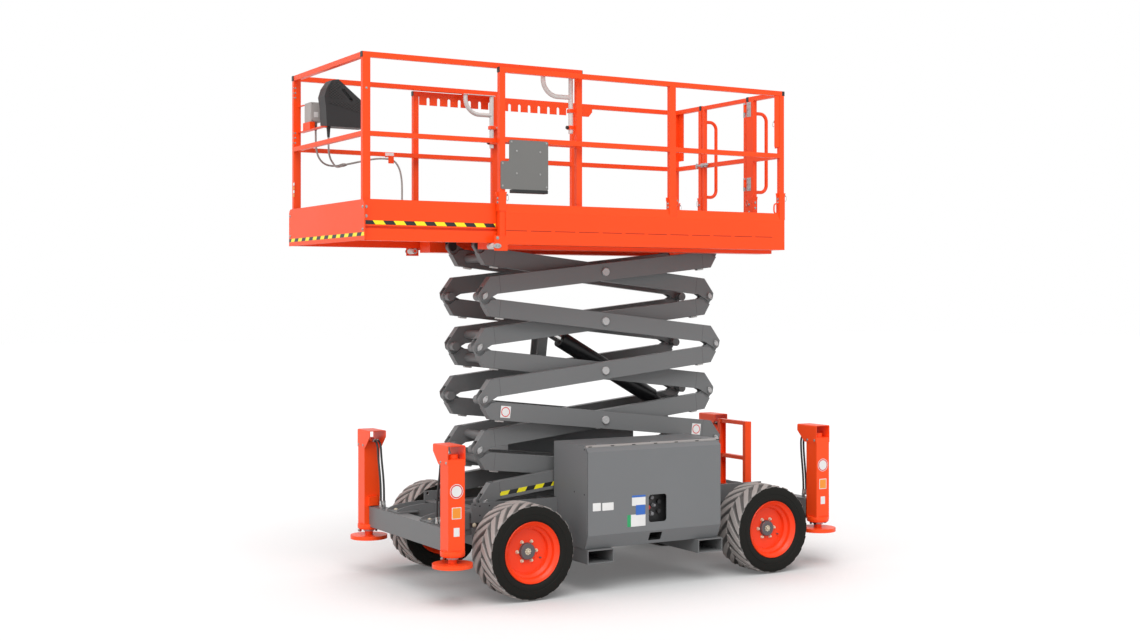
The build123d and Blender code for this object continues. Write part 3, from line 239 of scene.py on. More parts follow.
def metal(name, colour, roughness=0.3, metallic=1.0, grain=900.0):
    """Bare or plated metal with a fine uneven grain in its gloss."""
    material, tree, shader = shader_of(name)
    place = add(tree, "TexCoord", out=3)
    speck = add(tree, "TexNoise", {"Vector": place, "Scale": grain, "Detail": 2.0})
    haze = add(tree, "MapRange", {"Value": speck, "To Min": roughness - 0.08, "To Max": roughness + 0.12})
    dark = [0.85 * c for c in colour] + [1]
    tint = add(tree, "Mix", {0: speck, 6: dark, 7: list(colour) + [1]}, out=2, data_type="RGBA")
    rounded = add(tree, "Bevel", {"Radius": 0.0008}, samples=4)
    feed(tree, shader, Base_Color=tint, Roughness=haze, Normal=rounded)
    shader.inputs["Metallic"].default_value = metallic
    return material


hose_rubber = jacket("hose_rubber", (0.018, 0.018, 0.019), 0.46, 520.0)
cable_jacket = jacket("cable_jacket", (0.40, 0.36, 0.34), 0.42, 300.0)
zinc = metal("zinc_plate", (0.42, 0.42, 0.41), 0.36)
ferrule = joined(turned([(0.0, 0.0), (0.0, 0.0112), (0.010, 0.0112), (0.012, 0.0102), (0.014, 0.0112),
                         (0.020, 0.0112), (0.022, 0.0102), (0.024, 0.0112), (0.031, 0.0112), (0.033, 0.009),
                         (0.033, 0.0)], 28),
                 turned([(-0.012, 0.0), (-0.012, 0.0128), (-0.001, 0.0135), (0.0, 0.012), (0.0, 0.0)], 6))
hose_plane = 1.578
hose_spacing = 0.0260
jack_y = 0.729
# the route of a hose from the leg: places inward of the leg's middle, and heights
hose_start = [(0.095, 1.021), (0.131, 1.021), (0.162, 1.003), (0.180, 0.972)]
hose_drop = {1: [(0.187, 0.912), (0.202, 0.845), (0.222, 0.770),
                 (0.235, 0.690), (0.239, 0.615), (0.239, 0.545)],
             -1: [(0.179, 0.912), (0.173, 0.845), (0.163, 0.770),
                  (0.154, 0.690), (0.149, 0.615), (0.149, 0.545)]}
for name, end, side in corners:
    for kind, plane in (("pressure", hose_plane), ("return", hose_plane + hose_spacing)):
        route = [(end * plane, side * (jack_y - inward), z) for inward, z in hose_start + hose_drop[end]]
        hose = free_line(f"{kind}_hose_{name}", route, hose_width, hose_rubber, "chassis")
        if kind == "pressure":
            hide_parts("jack_hose_" + name)
        upper = moved(pointed(ferrule, (0, -side, 0)), route[0])
        lower = moved(pointed(ferrule, (0, 0, 1)), route[-1])
        ends = piece(f"{kind}_hose_ferrules_{name}", joined(upper, lower), zinc, "chassis",
                     smooth=28)

long_route = [(2.132, -0.462, 3.357), (2.132, -0.462, 3.275), (2.129, -0.464, 3.195), (2.104, -0.474, 3.127),
              (2.046, -0.498, 3.086), (1.966, -0.526, 3.080), (1.868, -0.556, 3.098), (1.756, -0.588, 3.124),
              (1.640, -0.612, 3.153), (1.540, -0.620, 3.167), (1.440, -0.622, 3.161), (1.394, -0.621, 3.100),
              (1.376, -0.620, 3.022), (1.371, -0.622, 2.935), (1.373, -0.621, 2.820), (1.368, -0.620, 2.710),
              (1.368, -0.620, 2.620)]
short_route = [(2.135, -0.200, 3.2563), (2.135, -0.200, 3.200), (2.122, -0.228, 3.145),
               (2.085, -0.285, 3.105), (2.030, -0.368, 3.083), (1.975, -0.470, 3.072),
               (1.925, -0.515, 3.076), (1.898, -0.531, 3.086)]
sleeve_shape = turned([(-0.036, 0.0), (-0.036, 0.0082), (-0.030, 0.0094), (-0.012, 0.0128), (0.010, 0.0134),
                       (0.028, 0.0098), (0.036, 0.0084), (0.036, 0.0)], 32)
sleeve = piece("cable_sleeve", moved(pointed(sleeve_shape, (-0.098, -0.030, 0.018)), (1.886, -0.5475, 3.094)),
               cable_jacket, "rollout")
gland_shape = joined(turned([(0.0, 0.0), (0.0, 0.0135), (0.010, 0.0135), (0.010, 0.0)], 6),
                     turned([(0.010, 0.0), (0.010, 0.0122), (0.018, 0.0118), (0.024, 0.0085),
                             (0.030, 0.0078), (0.030, 0.0)], 28))
gland = piece("cable_gland", moved(pointed(gland_shape, (0, 0, -1)), (2.132, -0.462, 3.3575)), hose_rubber,
              "rollout")
grommet_shape = turned([(0.0, 0.0), (0.0, 0.021), (0.004, 0.022), (0.008, 0.0205), (0.011, 0.013),
                        (0.026, 0.0085), (0.026, 0.0)], 32)
grommet = piece("floor_grommet", moved(pointed(grommet_shape, (0, 0, 1)), (1.368, -0.620, 2.612)),
                hose_rubber, "rollout")
long_cable = free_line("control_cable_long", long_route, cable_width, cable_jacket, "rollout")
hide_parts("control_cable_a")
short_cable = free_line("control_cable_short", short_route, cable_width, cable_jacket, "rollout")
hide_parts("control_cable_b")

# ------------------------------------------------------------------ chassis, axles and fork pockets
# Folded and welded steel in satin grey powder coat: two box members with outer plates, the axles, the tubes
# for a fork lift's tines, and the cross beams of the jacks. Saddles and gussets tie the beams to the members.
steel_grey = (0.152, 0.155, 0.157)
orange_red = (1.0, 0.072, 0.007)
jack_x = 1.600


def paint(name, colour, roughness=0.40, edge=0.003):
    """Powder coat. The shade drifts by a tenth over half a metre, fine orange peel breaks up the gloss, and
    the light sees each edge as rounded by a few millimetres."""
    material, tree, shader = shader_of(name)
    place = add(tree, "TexCoord", out=3)
    drift = add(tree, "TexNoise", {"Vector": place, "Scale": 1.9, "Detail": 4.0, "Roughness": 0.6})
    dark = [0.93 * c for c in colour] + [1]
    light = [min(1.0, 1.05 * c) for c in colour] + [1]
    shade = add(tree, "Mix", {0: drift, 6: dark, 7: light}, out=2, data_type="RGBA")
    gloss = add(tree, "MapRange", {"Value": drift, "To Min": roughness - 0.06, "To Max": roughness + 0.08})
    peel = add(tree, "TexNoise", {"Vector": place, "Scale": 380.0, "Detail": 1.0})
    rounded = add(tree, "Bevel", {"Radius": edge}, samples=4)
    skin = add(tree, "Bump", {"Strength": 0.10, "Distance": 0.0006, "Height": peel, "Normal": rounded})
    feed(tree, shader, Base_Color=shade, Roughness=gloss, Normal=skin)
    shader.inputs["Specular IOR Level"].default_value = 0.32
    return material


def dress(material, *nodes):
    """Gives CAD nodes a material in every slot."""
    for node in nodes:
        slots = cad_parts[node].data.materials
        if not len(slots):
            slots.append(material)
        for i in range(len(slots)):
            slots[i] = material


def slab(outline, thickness, edge=0.0008):
    """A plate. Its flat outline (u, v) is carried from w = 0 to the thickness, and drawn in by the edge at
    both faces, along the mean of the normals of the two sides that meet at each corner."""
    p = np.asarray(outline, float)
    side = np.roll(p, -1, 0) - p
    normal = np.stack([side[:, 1], -side[:, 0]], -1) / np.linalg.norm(side, axis=1)[:, None]
    normal = normal + np.roll(normal, 1, 0)
    normal /= np.maximum(np.linalg.norm(normal, axis=1)[:, None], 1e-9)
    turn = np.sign(np.sum(p[:, 0] * np.roll(p[:, 1], -1) - p[:, 1] * np.roll(p[:, 0], -1)))
    inset = np.array([edge, 0, 0, edge])[:, None, None] * turn
    height = np.array([0, edge, thickness - edge, thickness])
    flat = p[None] - inset * normal[None]
    points = np.concatenate([flat, np.broadcast_to(height[:, None, None], flat.shape[:2] + (1,))], -1)
    n = len(p)
    caps = [list(range(n)), list(range(3 * n, 4 * n))]
    return points.reshape(-1, 3), grid_faces(4, n, closed_columns=True) + caps


def box_outline(width, height, radius=0.0, count=4):
    """A rectangle about the origin with quarter-circle corners."""
    u, v = width / 2, height / 2
    if radius <= 0:
        return [(-u, -v), (u, -v), (u, v), (-u, v)]
    t = np.linspace(0, np.pi / 2, count + 1)
    points = []
    for k, (sx, sy) in enumerate(((1, 1), (-1, 1), (-1, -1), (1, -1))):
        a = t + k * np.pi / 2
        points.append(np.stack([sx * (u - radius) + radius * np.cos(a),
                                sy * (v - radius) + radius * np.sin(a)], -1))
    return np.concatenate(points)


def disc_outline(radius, count=40):
    """A circle about the origin."""
    t = np.arange(count) * 2 * np.pi / count
    return np.stack([radius * np.cos(t), radius * np.sin(t)], -1)


def placed(part, origin, right, up):
    """A part moved so that its u, v and w run along right, up, and right x up, from the origin."""
    axes = np.array([right, up, np.cross(right, up)], float)
    axes /= np.linalg.norm(axes, axis=1)[:, None]
    return np.asarray(part[0]) @ axes + np.asarray(origin, float), part[1]


# right and up of a plate that lies on a face, for the way the face looks, and that way as a direction
lie = {"+x": ((0, 1, 0), (0, 0, 1)), "-x": ((0, -1, 0), (0, 0, 1)), "+y": ((-1, 0, 0), (0, 0, 1)),
       "-y": ((1, 0, 0), (0, 0, 1)), "+z": ((1, 0, 0), (0, 1, 0))}
ways = {"+x": (1, 0, 0), "-x": (-1, 0, 0), "+y": (0, 1, 0), "-y": (0, -1, 0), "+z": (0, 0, 1)}
sides = ((1, "left", "+y"), (-1, "right", "-y"))


def laid(outline, place, face, thickness=0.001, edge=0.0003):
    """A plate of an outline that lies on a face, and stands out from the place by its thickness."""
    return placed(slab(outline, thickness, edge), place, *lie[face])


def hex_head(radius):
    """A hexagon head on its washer: six-sided and round turned profiles on one axis."""
    head = turned([(0.0, 0.0), (0.0, radius), (0.62 * radius, radius), (0.74 * radius, 0.84 * radius),
                   (0.74 * radius, 0.0)], 6)
    washer = turned([(0.0, 0.0), (0.0, 1.35 * radius), (0.14 * radius, 1.35 * radius),
                     (0.16 * radius, 0.0)], 20)
    return joined(head, washer)


def bolts(places, face, radius=0.0075):
    """Bolt heads that look one way."""
    return repeated(pointed(hex_head(radius), ways[face]), places)


def dots(places, face, radius=0.006, height=0.0006):
    """Small round discs, for holes and pegs."""
    return joined(*[laid(disc_outline(radius, 20), place, face, height, height / 3) for place in places])


grey_coat = paint("grey_coat", steel_grey)
dress(grey_coat, "chassis_frame", "front_axle", "rear_axle", "fork_pockets", "outrigger_beams",
      "knuckle_left", "knuckle_right")
nut_cream = metal("cream_nut", (0.74, 0.68, 0.52), 0.45, 0.15)
keeper_white = metal("keeper_plate", (0.47, 0.47, 0.47), 0.42, 0.30)
# near black: the own colour of the pin plugs and hose fittings, and a painted shade where flat discs and
# strips stand for holes and hinge notches
black_and_painted_hole_shade = jacket("black_and_painted_hole_shade", (0.012, 0.012, 0.013), 0.7, 200.0)

beam_top_z = 0.517
rail_end_x = 1.290
saddle_x = 1.512
saddle_y = (0.180, 0.395)
saddle_bolt_y = (0.245, 0.345)
saddle_sheet = 0.010
gusset_y = (0.214, 0.372)
gusset_sheet = 0.008
side_plate_y = 0.405
hanger_face_y = 0.403
hanger_bolt_places = ((1.270, side_plate_y, 0.485), (1.252, hanger_face_y, 0.411),
                      (1.165, hanger_face_y, 0.411))
side_holes = ((1.226, 0.617), (1.149, 0.616), (1.226, 0.551), (1.149, 0.551))
# a gusset seen from the side: on the beam, down its face, and back to the member along a quarter of an oval
gusset_side = [(rail_end_x, 0.452), (1.522, 0.452), (1.522, beam_top_z + 0.001), (1.600, beam_top_z + 0.001)]
gusset_side += [(rail_end_x + 0.31 * math.sin(a), 0.526 + 0.050 * math.cos(a))
                for a in np.linspace(0, np.pi / 2, 9)[::-1]]
reflector_orange = jacket("reflector_orange", (0.95, 0.13, 0.01), 0.2, 900.0)
for side, tag, face in sides:
    for end, where in ((1, "front"), (-1, "rear")):
        at = f"{where}_{tag}"
        saddle = laid(box_outline(0.180, saddle_y[1] - saddle_y[0], 0.022, 5),
                      (end * saddle_x, side * sum(saddle_y) / 2, beam_top_z), "+z", saddle_sheet, 0.001)
        outline = [(end * x, z) for x, z in gusset_side]
        gussets = [placed(slab(outline, gusset_sheet, 0.001), (0, side * y, 0), (1, 0, 0), (0, 0, 1))
                   for y in gusset_y]
        piece("beam_saddle_" + at, joined(saddle, *gussets), grey_coat, "chassis")
        spots = [(end * 1.545, side * y, beam_top_z + saddle_sheet) for y in saddle_bolt_y]
        piece("saddle_bolts_" + at, bolts(spots, "+z", 0.011), nut_cream, "chassis")
        hanger = laid(box_outline(0.150, 0.085, 0.012), (end * 1.214, side * (hanger_face_y - 0.010), 0.424),
                      face, 0.010, 0.001)
        piece("axle_hanger_" + at, hanger, grey_coat, "chassis")
        spots = [(end * x, side * y, z) for x, y, z in hanger_bolt_places]
        piece("hanger_bolts_" + at, bolts(spots, face, 0.012), nut_cream, "chassis")
        # the holes in the side plates are dark discs, a painted shade
        spots = [(end * x, side * side_plate_y, z) for x, z in side_holes]
        piece("plate_holes_" + at, dots(spots, face, 0.006, 0.0005), black_and_painted_hole_shade, "chassis")
        lens = laid(box_outline(0.050, 0.026, 0.010), (end * 1.085, side * side_plate_y, 0.585), face,
                    0.006, 0.0015)
        piece("side_reflector_" + at, lens, reflector_orange, "chassis")

# ------------------------------------------------------------------ tyres
# Moulded rubber on the four rims: smooth black side walls with moulded rings, and two staggered rows of
# broad slanted lugs whose tops are scuffed to a warm grey, with dark narrow gaps between them.
axle_x = 1.049
axle_z = 0.335
face_y = 0.875
tyre_width = 0.310
tyre_middle = face_y - tyre_width / 2
lug_tip = 0.3345
lug_root = 0.306
lugs_in_row = 20
lug_width = 0.050
lug_shoulder_width = 0.060
lug_lead = 0.46


def casing():
    """Side walls and tread base, turned from a closed profile about the wheel's own centre."""
    outer = [(0.098, 0.206), (0.128, 0.212), (0.143, 0.219), (0.151, 0.232), (0.1535, 0.246),
             (0.1535, 0.262), (0.1515, 0.265), (0.1535, 0.268), (0.1538, 0.298), (0.1532, 0.312),
             (0.1500, 0.3195), (0.1440, 0.3235), (0.1340, 0.3205), (0.1120, 0.3110), (0.0600, lug_root),
             (0.0, lug_root)]
    inner = [(-a, r) for a, r in reversed(outer[:-1])]
    return turned(outer + inner, 96, closed=True)


def lug_row(side):
    """One row of lugs. Along a lug, s from 0 at the middle to 1 at the shoulder, the point moves out to the
    side and round the wheel by an angle that grows as s to the power 1.15. Across it lies a trapezium with
    rounded shoulders."""
    s = np.linspace(0, 1, 12)[:, None]
    across = np.array([-0.56, -0.50, -0.46, 0.46, 0.50, 0.56])[None]
    drop = np.array([0.0, 0.86, 1.0, 1.0, 0.86, 0.0])[None]
    width = lug_width + (lug_shoulder_width - lug_width) * s
    y = side * (0.003 + 0.1495 * s)
    top = lug_tip - 0.003 * s ** 2 - 0.009 * np.clip(s - 0.93, 0, 1) / 0.07
    low = np.where(s > 0.88, 0.300, lug_root - 0.004)
    r = low + (top - low) * drop
    angle = lug_lead * s ** 1.15 + across * width / lug_tip
    start = np.arange(lugs_in_row) * 2 * np.pi / lugs_in_row + (np.pi / lugs_in_row if side > 0 else 0.0)
    a = start[:, None, None] + angle[None]
    points = np.stack([r * np.sin(a), np.broadcast_to(y, angle.shape) + 0 * a, r * np.cos(a)], -1)
    n, rows, columns = points.shape[:3]
    one = grid_faces(rows, columns, closed_columns=True)
    one += [list(range(columns)), list(range((rows - 1) * columns, rows * columns))]
    faces = [[i + k * rows * columns for i in face] for k in range(n) for face in one]
    return points.reshape(-1, 3), faces


def rubber(name, centre):
    """Tyre rubber. Its tone follows the distance from the wheel's axis: dusty grey between the lugs, and
    scuffed lighter on their tops. It is black outside a cone that parts the side wall from the tread."""
    material, tree, shader = shader_of(name)
    place = add(tree, "TexCoord", out=3)
    local = add(tree, "Mapping", {"Vector": place, "Location": [-c for c in centre]})
    flat = add(tree, "VectorMath", {0: local, 1: (1, 0, 1)}, operation="MULTIPLY")
    distance = add(tree, "VectorMath", {0: flat}, out=1, operation="LENGTH")
    cloud = add(tree, "TexNoise", {"Vector": place, "Scale": 38.0, "Detail": 5.0})
    rough_radius = add(tree, "Math", {0: cloud, 1: 0.003, 2: distance}, operation="MULTIPLY_ADD")
    share = add(tree, "MapRange", {"Value": rough_radius, "From Min": 0.30, "From Max": 0.34})
    ramp_out = add(tree, "ValToRGB", {"Fac": share})
    ramp = ramp_out.node.color_ramp
    ramp.elements[0].position = 0.10
    ramp.elements[0].color = (0.175, 0.168, 0.162, 1)
    ramp.elements[1].position = 0.56
    ramp.elements[1].color = (0.200, 0.190, 0.184, 1)
    for at, tone in ((0.70, (0.260, 0.242, 0.232, 1)), (0.80, (0.410, 0.375, 0.356, 1))):
        ramp.elements.new(at).color = tone
    aside = add(tree, "SeparateXYZ", {"Vector": local}, out=1)
    aside = add(tree, "Math", {0: aside}, operation="ABSOLUTE")
    cone = add(tree, "MapRange", {"Value": distance, "From Min": 0.296, "From Max": 0.321,
                                  "To Min": 0.100, "To Max": 0.1475})
    beyond = add(tree, "Math", {0: aside, 1: cone}, operation="SUBTRACT")
    on_wall = add(tree, "MapRange", {"Value": beyond, "From Min": 0.0, "From Max": 0.0012})
    wall_black = (0.0062, 0.0060, 0.0046, 1)
    tone = add(tree, "Mix", {0: on_wall, 6: ramp_out, 7: wall_black}, out=2, data_type="RGBA")
    grain = add(tree, "TexNoise", {"Vector": place, "Scale": 260.0, "Detail": 3.0})
    bump = add(tree, "Bump", {"Strength": 0.25, "Distance": 0.0008, "Height": grain})
    feed(tree, shader, Base_Color=tone, Normal=bump)
    shader.inputs["Roughness"].default_value = 0.62
    shader.inputs["Specular IOR Level"].default_value = 0.20
    return material


tyre_part = joined(casing(), lug_row(1), lug_row(-1))
for name, end, side in corners:
    centre = np.array([end * axle_x, side * tyre_middle, axle_z])
    flipped = np.asarray(tyre_part[0]) * (1, side, 1)
    tyre = piece("lugged_tyre_" + name, (flipped + centre, tyre_part[1]), rubber("rubber_" + name, centre),
                 "wheel_" + name, smooth=28)
    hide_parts("tyre_" + name)

# ------------------------------------------------------------------ rims and hubs
# Pressed steel rims in glossy orange-red, each on six cone nuts, with the dark grey cap of the drive hub and
# its small plated screws in the middle.
disc_y = 0.775
nut_circle = 0.076
hub_radius = 0.0572
hub_face = 0.0222
hub_screw_circle = 0.0185
valve_circle = 0.118
valve_angle = 3.6
orange_coat = paint("orange_coat", orange_red, 0.36, 0.0035)
rim_coat = paint("rim_coat", (0.90, 0.052, 0.008), 0.34, 0.004)
hub_grey = paint("hub_grey", (0.105, 0.100, 0.105), 0.42, 0.002)


def round_places(centre, radius, count):
    """Evenly spaced places on an upright circle, square to the axle."""
    turn = np.arange(count) * 2 * np.pi / count
    return np.stack([radius * np.cos(turn), 0 * turn, radius * np.sin(turn)], -1) + centre


cone_nut = joined(turned([(0, 0.0), (0, 0.0105), (0.012, 0.0105), (0.017, 0.007), (0.017, 0.0)], 6),
                  turned([(0, 0.0), (0, 0.0135), (0.003, 0.0125), (0.003, 0.0)], 20))
hub_cap = turned([(0.0, hub_radius + 0.003), (0.004, hub_radius + 0.003), (0.0045, hub_radius),
                  (0.0215, hub_radius), (0.0245, hub_radius - 0.004), (0.0245, 0.026), (0.022, 0.024),
                  (0.022, 0.0)], 56)
hub_plug = turned([(0, 0.0105), (0.005, 0.0105), (0.0070, 0.007), (0.0070, 0.0)], 6)
valve = turned([(0, 0.0), (0, 0.006), (0.012, 0.0045), (0.020, 0.004), (0.021, 0.0)], 14)
for name, end, side in corners:
    body = "wheel_" + name
    dress(rim_coat, "rim_" + name)
    centre = np.array([end * axle_x, side * disc_y, axle_z])
    out = ways["+y" if side > 0 else "-y"]
    nuts = repeated(pointed(cone_nut, out), round_places(centre, nut_circle, 6))
    piece("wheel_nuts_" + name, nuts, nut_cream, body)
    piece("hub_cap_" + name, moved(pointed(hub_cap, out), centre), hub_grey, body)
    face = centre + (0, side * hub_face, 0)
    screws = joined(repeated(pointed(hex_head(0.0050), out), round_places(face, hub_screw_circle, 8)),
                    moved(pointed(hub_plug, out), face))
    piece("hub_screws_" + name, screws, nut_cream, body)
    at = centre + (valve_circle * math.cos(valve_angle), 0.0, valve_circle * math.sin(valve_angle))
    piece("valve_" + name, moved(pointed(valve, out), at), hub_grey, body)

# ------------------------------------------------------------------ outrigger jacks
# Square legs in orange-red with a folded cover over the cylinder head, held by two screws in each cheek. A
# welded collar closes the leg's foot round a plated wiper ring, with hose fittings and a filler plug beside
# it; the ram ends in a round foot. Blank plates mark the legs.
leg_half = 0.0625
leg_foot_z = 0.343
cover_cheek = leg_half + 0.005
cover_screw_z = 0.983
ring_plate_z = 0.789
centre_plate_z = 0.641
low_plate_z = 0.512
thin = 0.0006


def plastic(name, colour, roughness=0.5, scale=420.0, depth=0.0004):
    """Moulded plastic with a fine pebbled skin."""
    material, tree, shader = shader_of(name)
    place = add(tree, "TexCoord", out=3)
    pebble = add(tree, "TexVoronoi", {"Vector": place, "Scale": scale})
    drift = add(tree, "TexNoise", {"Vector": place, "Scale": 9.0, "Detail": 3.0})
    dark = [0.86 * c for c in colour] + [1]
    shade = add(tree, "Mix", {0: drift, 6: dark, 7: list(colour) + [1]}, out=2, data_type="RGBA")
    rounded = add(tree, "Bevel", {"Radius": 0.002}, samples=4)
    skin = add(tree, "Bump", {"Strength": 0.25, "Distance": depth, "Height": pebble, "Normal": rounded})
    feed(tree, shader, Base_Color=shade, Normal=skin)
    shader.inputs["Roughness"].default_value = roughness
    return material


blank_white = plastic("blank_plate_white", (0.80, 0.80, 0.79), 0.35, 60.0, 0.00005)
blank_orange = plastic("blank_plate_orange", (0.90, 0.30, 0.02), 0.35, 60.0, 0.00005)
rim_red = plastic("plate_rim_red", (0.72, 0.03, 0.03), 0.35, 60.0, 0.00005)


def ring_plate(radius, width, place, face, height):
    """A flat ring between two circles, raised by its height."""
    a = [(0.0, radius), (height, radius - height / 2), (height, radius - width), (0.0, radius - width)]
    return moved(pointed(turned(a, 48, closed=True), ways[face]), place)


dress(orange_coat, "jack_legs", "entry_ladder", *["jack_foot_" + corner[0] for corner in corners])
leg_collar = turned([(0.0, 0.040), (0.0, 0.076), (0.003, 0.082), (0.008, 0.0855), (0.036, 0.0860),
                     (0.040, 0.0845), (0.042, 0.060)], 64)
wiper = turned([(0.0, 0.0315), (0.0, 0.050), (0.006, 0.051), (0.008, 0.043), (0.021, 0.041),
                (0.024, 0.0315)], 48)
fitting = turned([(0.0, 0.0), (0.0, 0.011), (0.012, 0.011), (0.013, 0.008), (0.022, 0.008), (0.022, 0.0)], 6)
filler = turned([(0, 0.0), (0, 0.0125), (0.016, 0.0125), (0.018, 0.009), (0.024, 0.009), (0.024, 0.0)], 6)
for name, end, side in corners:
    x, y = end * jack_x, side * jack_y
    face = "+y" if side > 0 else "-y"
    piece("wiper_ring_" + name, moved(pointed(wiper, (0, 0, -1)), (x, y, leg_foot_z)), keeper_white,
          "chassis")
    piece("leg_collar_" + name, moved(pointed(leg_collar, (0, 0, 1)), (x, y, leg_foot_z - 0.004)),
          orange_coat, "chassis")
    spots = [(x - end * 0.052, y + side * dy, leg_foot_z - 0.003) for dy in (-0.020, 0.030)]
    piece("leg_fittings_" + name, repeated(pointed(fitting, (0, 0, -1)), spots), black_and_painted_hole_shade, "chassis")
    plug = moved(pointed(filler, (end, 0, 0)), (x + end * 0.064, y, leg_foot_z - 0.012))
    piece("leg_plug_" + name, plug, zinc, "chassis")
    screws = [bolts([(x + cheek * cover_cheek, y + side * dy, cover_screw_z) for dy in (-0.046, 0.040)],
                    "+x" if cheek > 0 else "-x") for cheek in (1, -1)]
    piece("cover_screws_" + name, joined(*screws), zinc, "chassis")
    plate_y = y + side * leg_half
    top_y = plate_y + side * thin
    whites = joined(laid(disc_outline(0.050, 48), (x, plate_y, ring_plate_z), face, 0.0008),
                    laid(box_outline(0.072, 0.080, 0.003), (x, plate_y, centre_plate_z), face, 0.0008),
                    laid(box_outline(0.044, 0.060, 0.003), (x, plate_y, low_plate_z), face, 0.0008))
    piece("leg_plates_" + name, whites, blank_white, "chassis")
    piece("leg_plate_rim_" + name, ring_plate(0.046, 0.008, (x, top_y, ring_plate_z), face, thin), rim_red,
          "chassis")
    centre_plate = laid(box_outline(0.062, 0.070, 0.002), (x, top_y, centre_plate_z), face, thin)
    piece("leg_plate_centre_" + name, centre_plate, blank_orange, "chassis")

# ------------------------------------------------------------------ cabinets and ground controls
# Sheet steel cabinets on both sides, hinged along the top edge. The left one has an opening for the ground
# controls: a black panel with red push buttons and rotary switches, and blank plates beside it.
cabinet_y = 0.845
cabinet_grey = (0.168, 0.174, 0.179)
cabinet_coat = paint("cabinet_coat", cabinet_grey, 0.40, 0.004)
dress(cabinet_coat, "cabinet_left", "cabinet_right", "cabinet_door_left", "cabinet_door_right")
# the hinge barrel is real, but its pale brownish coat is a painted highlight of the light from above on the
# cabinet's top edge
hinge_coat_painted_highlight = paint("hinge_coat_painted_highlight", (0.31, 0.295, 0.285), 0.40, 0.003)
black_plastic = plastic("black_plastic", (0.014, 0.014, 0.015), 0.48)
red_plastic = plastic("red_button", (0.62, 0.015, 0.012), 0.28, 120.0, 0.0001)
switch_grey = plastic("switch_grey", (0.20, 0.20, 0.21), 0.35, 120.0, 0.0001)
blank_blue = plastic("blank_plate_blue", (0.03, 0.14, 0.52), 0.35, 60.0, 0.00005)
blank_green = plastic("blank_plate_green", (0.02, 0.34, 0.12), 0.35, 60.0, 0.00005)
dress(black_plastic, "ground_controls")
dress(grey_coat, "battery_pack", "hydraulic_unit")


def door_plate(x0, x1, z0, z1, lift=0.0):
    """A thin blank plate on the left cabinet's door between two lengthwise places and two heights."""
    return laid(box_outline(x1 - x0, z1 - z0, 0.004), ((x0 + x1) / 2, cabinet_y + lift, (z0 + z1) / 2), "+y",
                thin)


whites = joined(door_plate(0.483, 0.550, 0.584, 0.642), door_plate(0.375, 0.471, 0.583, 0.639),
                door_plate(0.102, 0.219, 0.600, 0.675), door_plate(0.102, 0.260, 0.450, 0.537))
piece("door_plates_white", whites, blank_white, "door_left")
blues = joined(door_plate(0.105, 0.186, 0.532, 0.604, 0.0004), door_plate(0.102, 0.219, 0.660, 0.675, 0.0004))
piece("door_plates_blue", blues, blank_blue, "door_left")
piece("door_plate_green", door_plate(0.228, 0.260, 0.450, 0.537, 0.0004), blank_green, "door_left")

stub_height = 0.022
panel_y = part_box("ground_controls")[1][1] - stub_height


def knob(radius, height, x, z):
    """A push button or switch cap: a turned collar, a neck, and a head with a domed top, whose edge is a
    quarter of an oval."""
    a = np.linspace(0, np.pi / 2, 7)
    dome = [(height - 0.3 * radius * (1 - math.cos(t)), radius * math.sin(t)) for t in a[::-1]]
    collar = [(0.0, 0.0), (0.0, 1.3 * radius), (0.003, 1.3 * radius), (0.004, 0.8 * radius)]
    neck = [(0.55 * height, 0.8 * radius), (0.6 * height, radius)]
    return moved(pointed(turned(collar + neck + dome, 30), (0, 1, 0)), (x, panel_y, z))


piece("stop_buttons", joined(knob(0.017, 0.034, 0.055, 0.574), knob(0.013, 0.030, 0.065, 0.514)), red_plastic,
      "chassis")
piece("rotary_switches", joined(knob(0.015, 0.030, 0.019, 0.645), knob(0.014, 0.028, 0.017, 0.525),
                                knob(0.011, 0.026, -0.003, 0.586)), switch_grey, "chassis")
hinge_x = (-0.568, 0.588)
hinge_y = 0.808
hinge_z = 1.0405
hinge_radius = 0.0115
notch_x = (0.557, 0.369, 0.187, -0.003, -0.186, -0.372, -0.561)
end_wall_x = 0.5902
end_wall_holes = ((0.795, 1.021), (0.655, 0.707), (0.795, 0.700))
for side, tag, face in sides:
    barrel = turned([(hinge_x[0], 0.0), (hinge_x[0], hinge_radius), (hinge_x[1], hinge_radius),
                     (hinge_x[1], 0.0)], 24)
    piece("hinge_barrel_" + tag, moved(pointed(barrel, (1, 0, 0)), (0, side * hinge_y, hinge_z)), hinge_coat_painted_highlight,
          "door_" + tag)
    # dark strips on the barrel stand for the gaps between the hinge knuckles, a painted shade
    notches = [laid(box_outline(0.030, 0.006, 0.002), (x, side * (hinge_y + 0.0108), hinge_z + 0.001), face,
                    0.0012) for x in notch_x]
    piece("hinge_notches_" + tag, joined(*notches), black_and_painted_hole_shade, "door_" + tag)
    # the holes in the end wall are dark discs, a painted shade
    spots = [(end_wall_x, side * y, z) for y, z in end_wall_holes]
    piece("end_wall_holes_" + tag, dots(spots, "+x", 0.006, 0.0005), black_and_painted_hole_shade, "chassis")

# ------------------------------------------------------------------ scissor stack
# Five pairs of rectangular tube arms in satin grey, joined by round cross tubes and turned pins. Light keeper
# plates lock the end pins, caps close the middle ones, and pale pads take the weight of the folded stack.
stack_coat = paint("stack_coat", (0.158, 0.162, 0.164), 0.42, 0.003)
dress(stack_coat, *[f"{kind}_arms_{k}" for kind in ("inner", "outer") for k in range(1, 6)])
dress(black_plastic, "slide_blocks_lower", "slide_blocks_upper")
black_coat = paint("black_coat", (0.012, 0.012, 0.013), 0.30, 0.003)
chrome = metal("ground_rod", (0.78, 0.78, 0.77), 0.14)
dress(black_coat, "lift_cylinder_barrel")
dress(chrome, "lift_cylinder_rod")

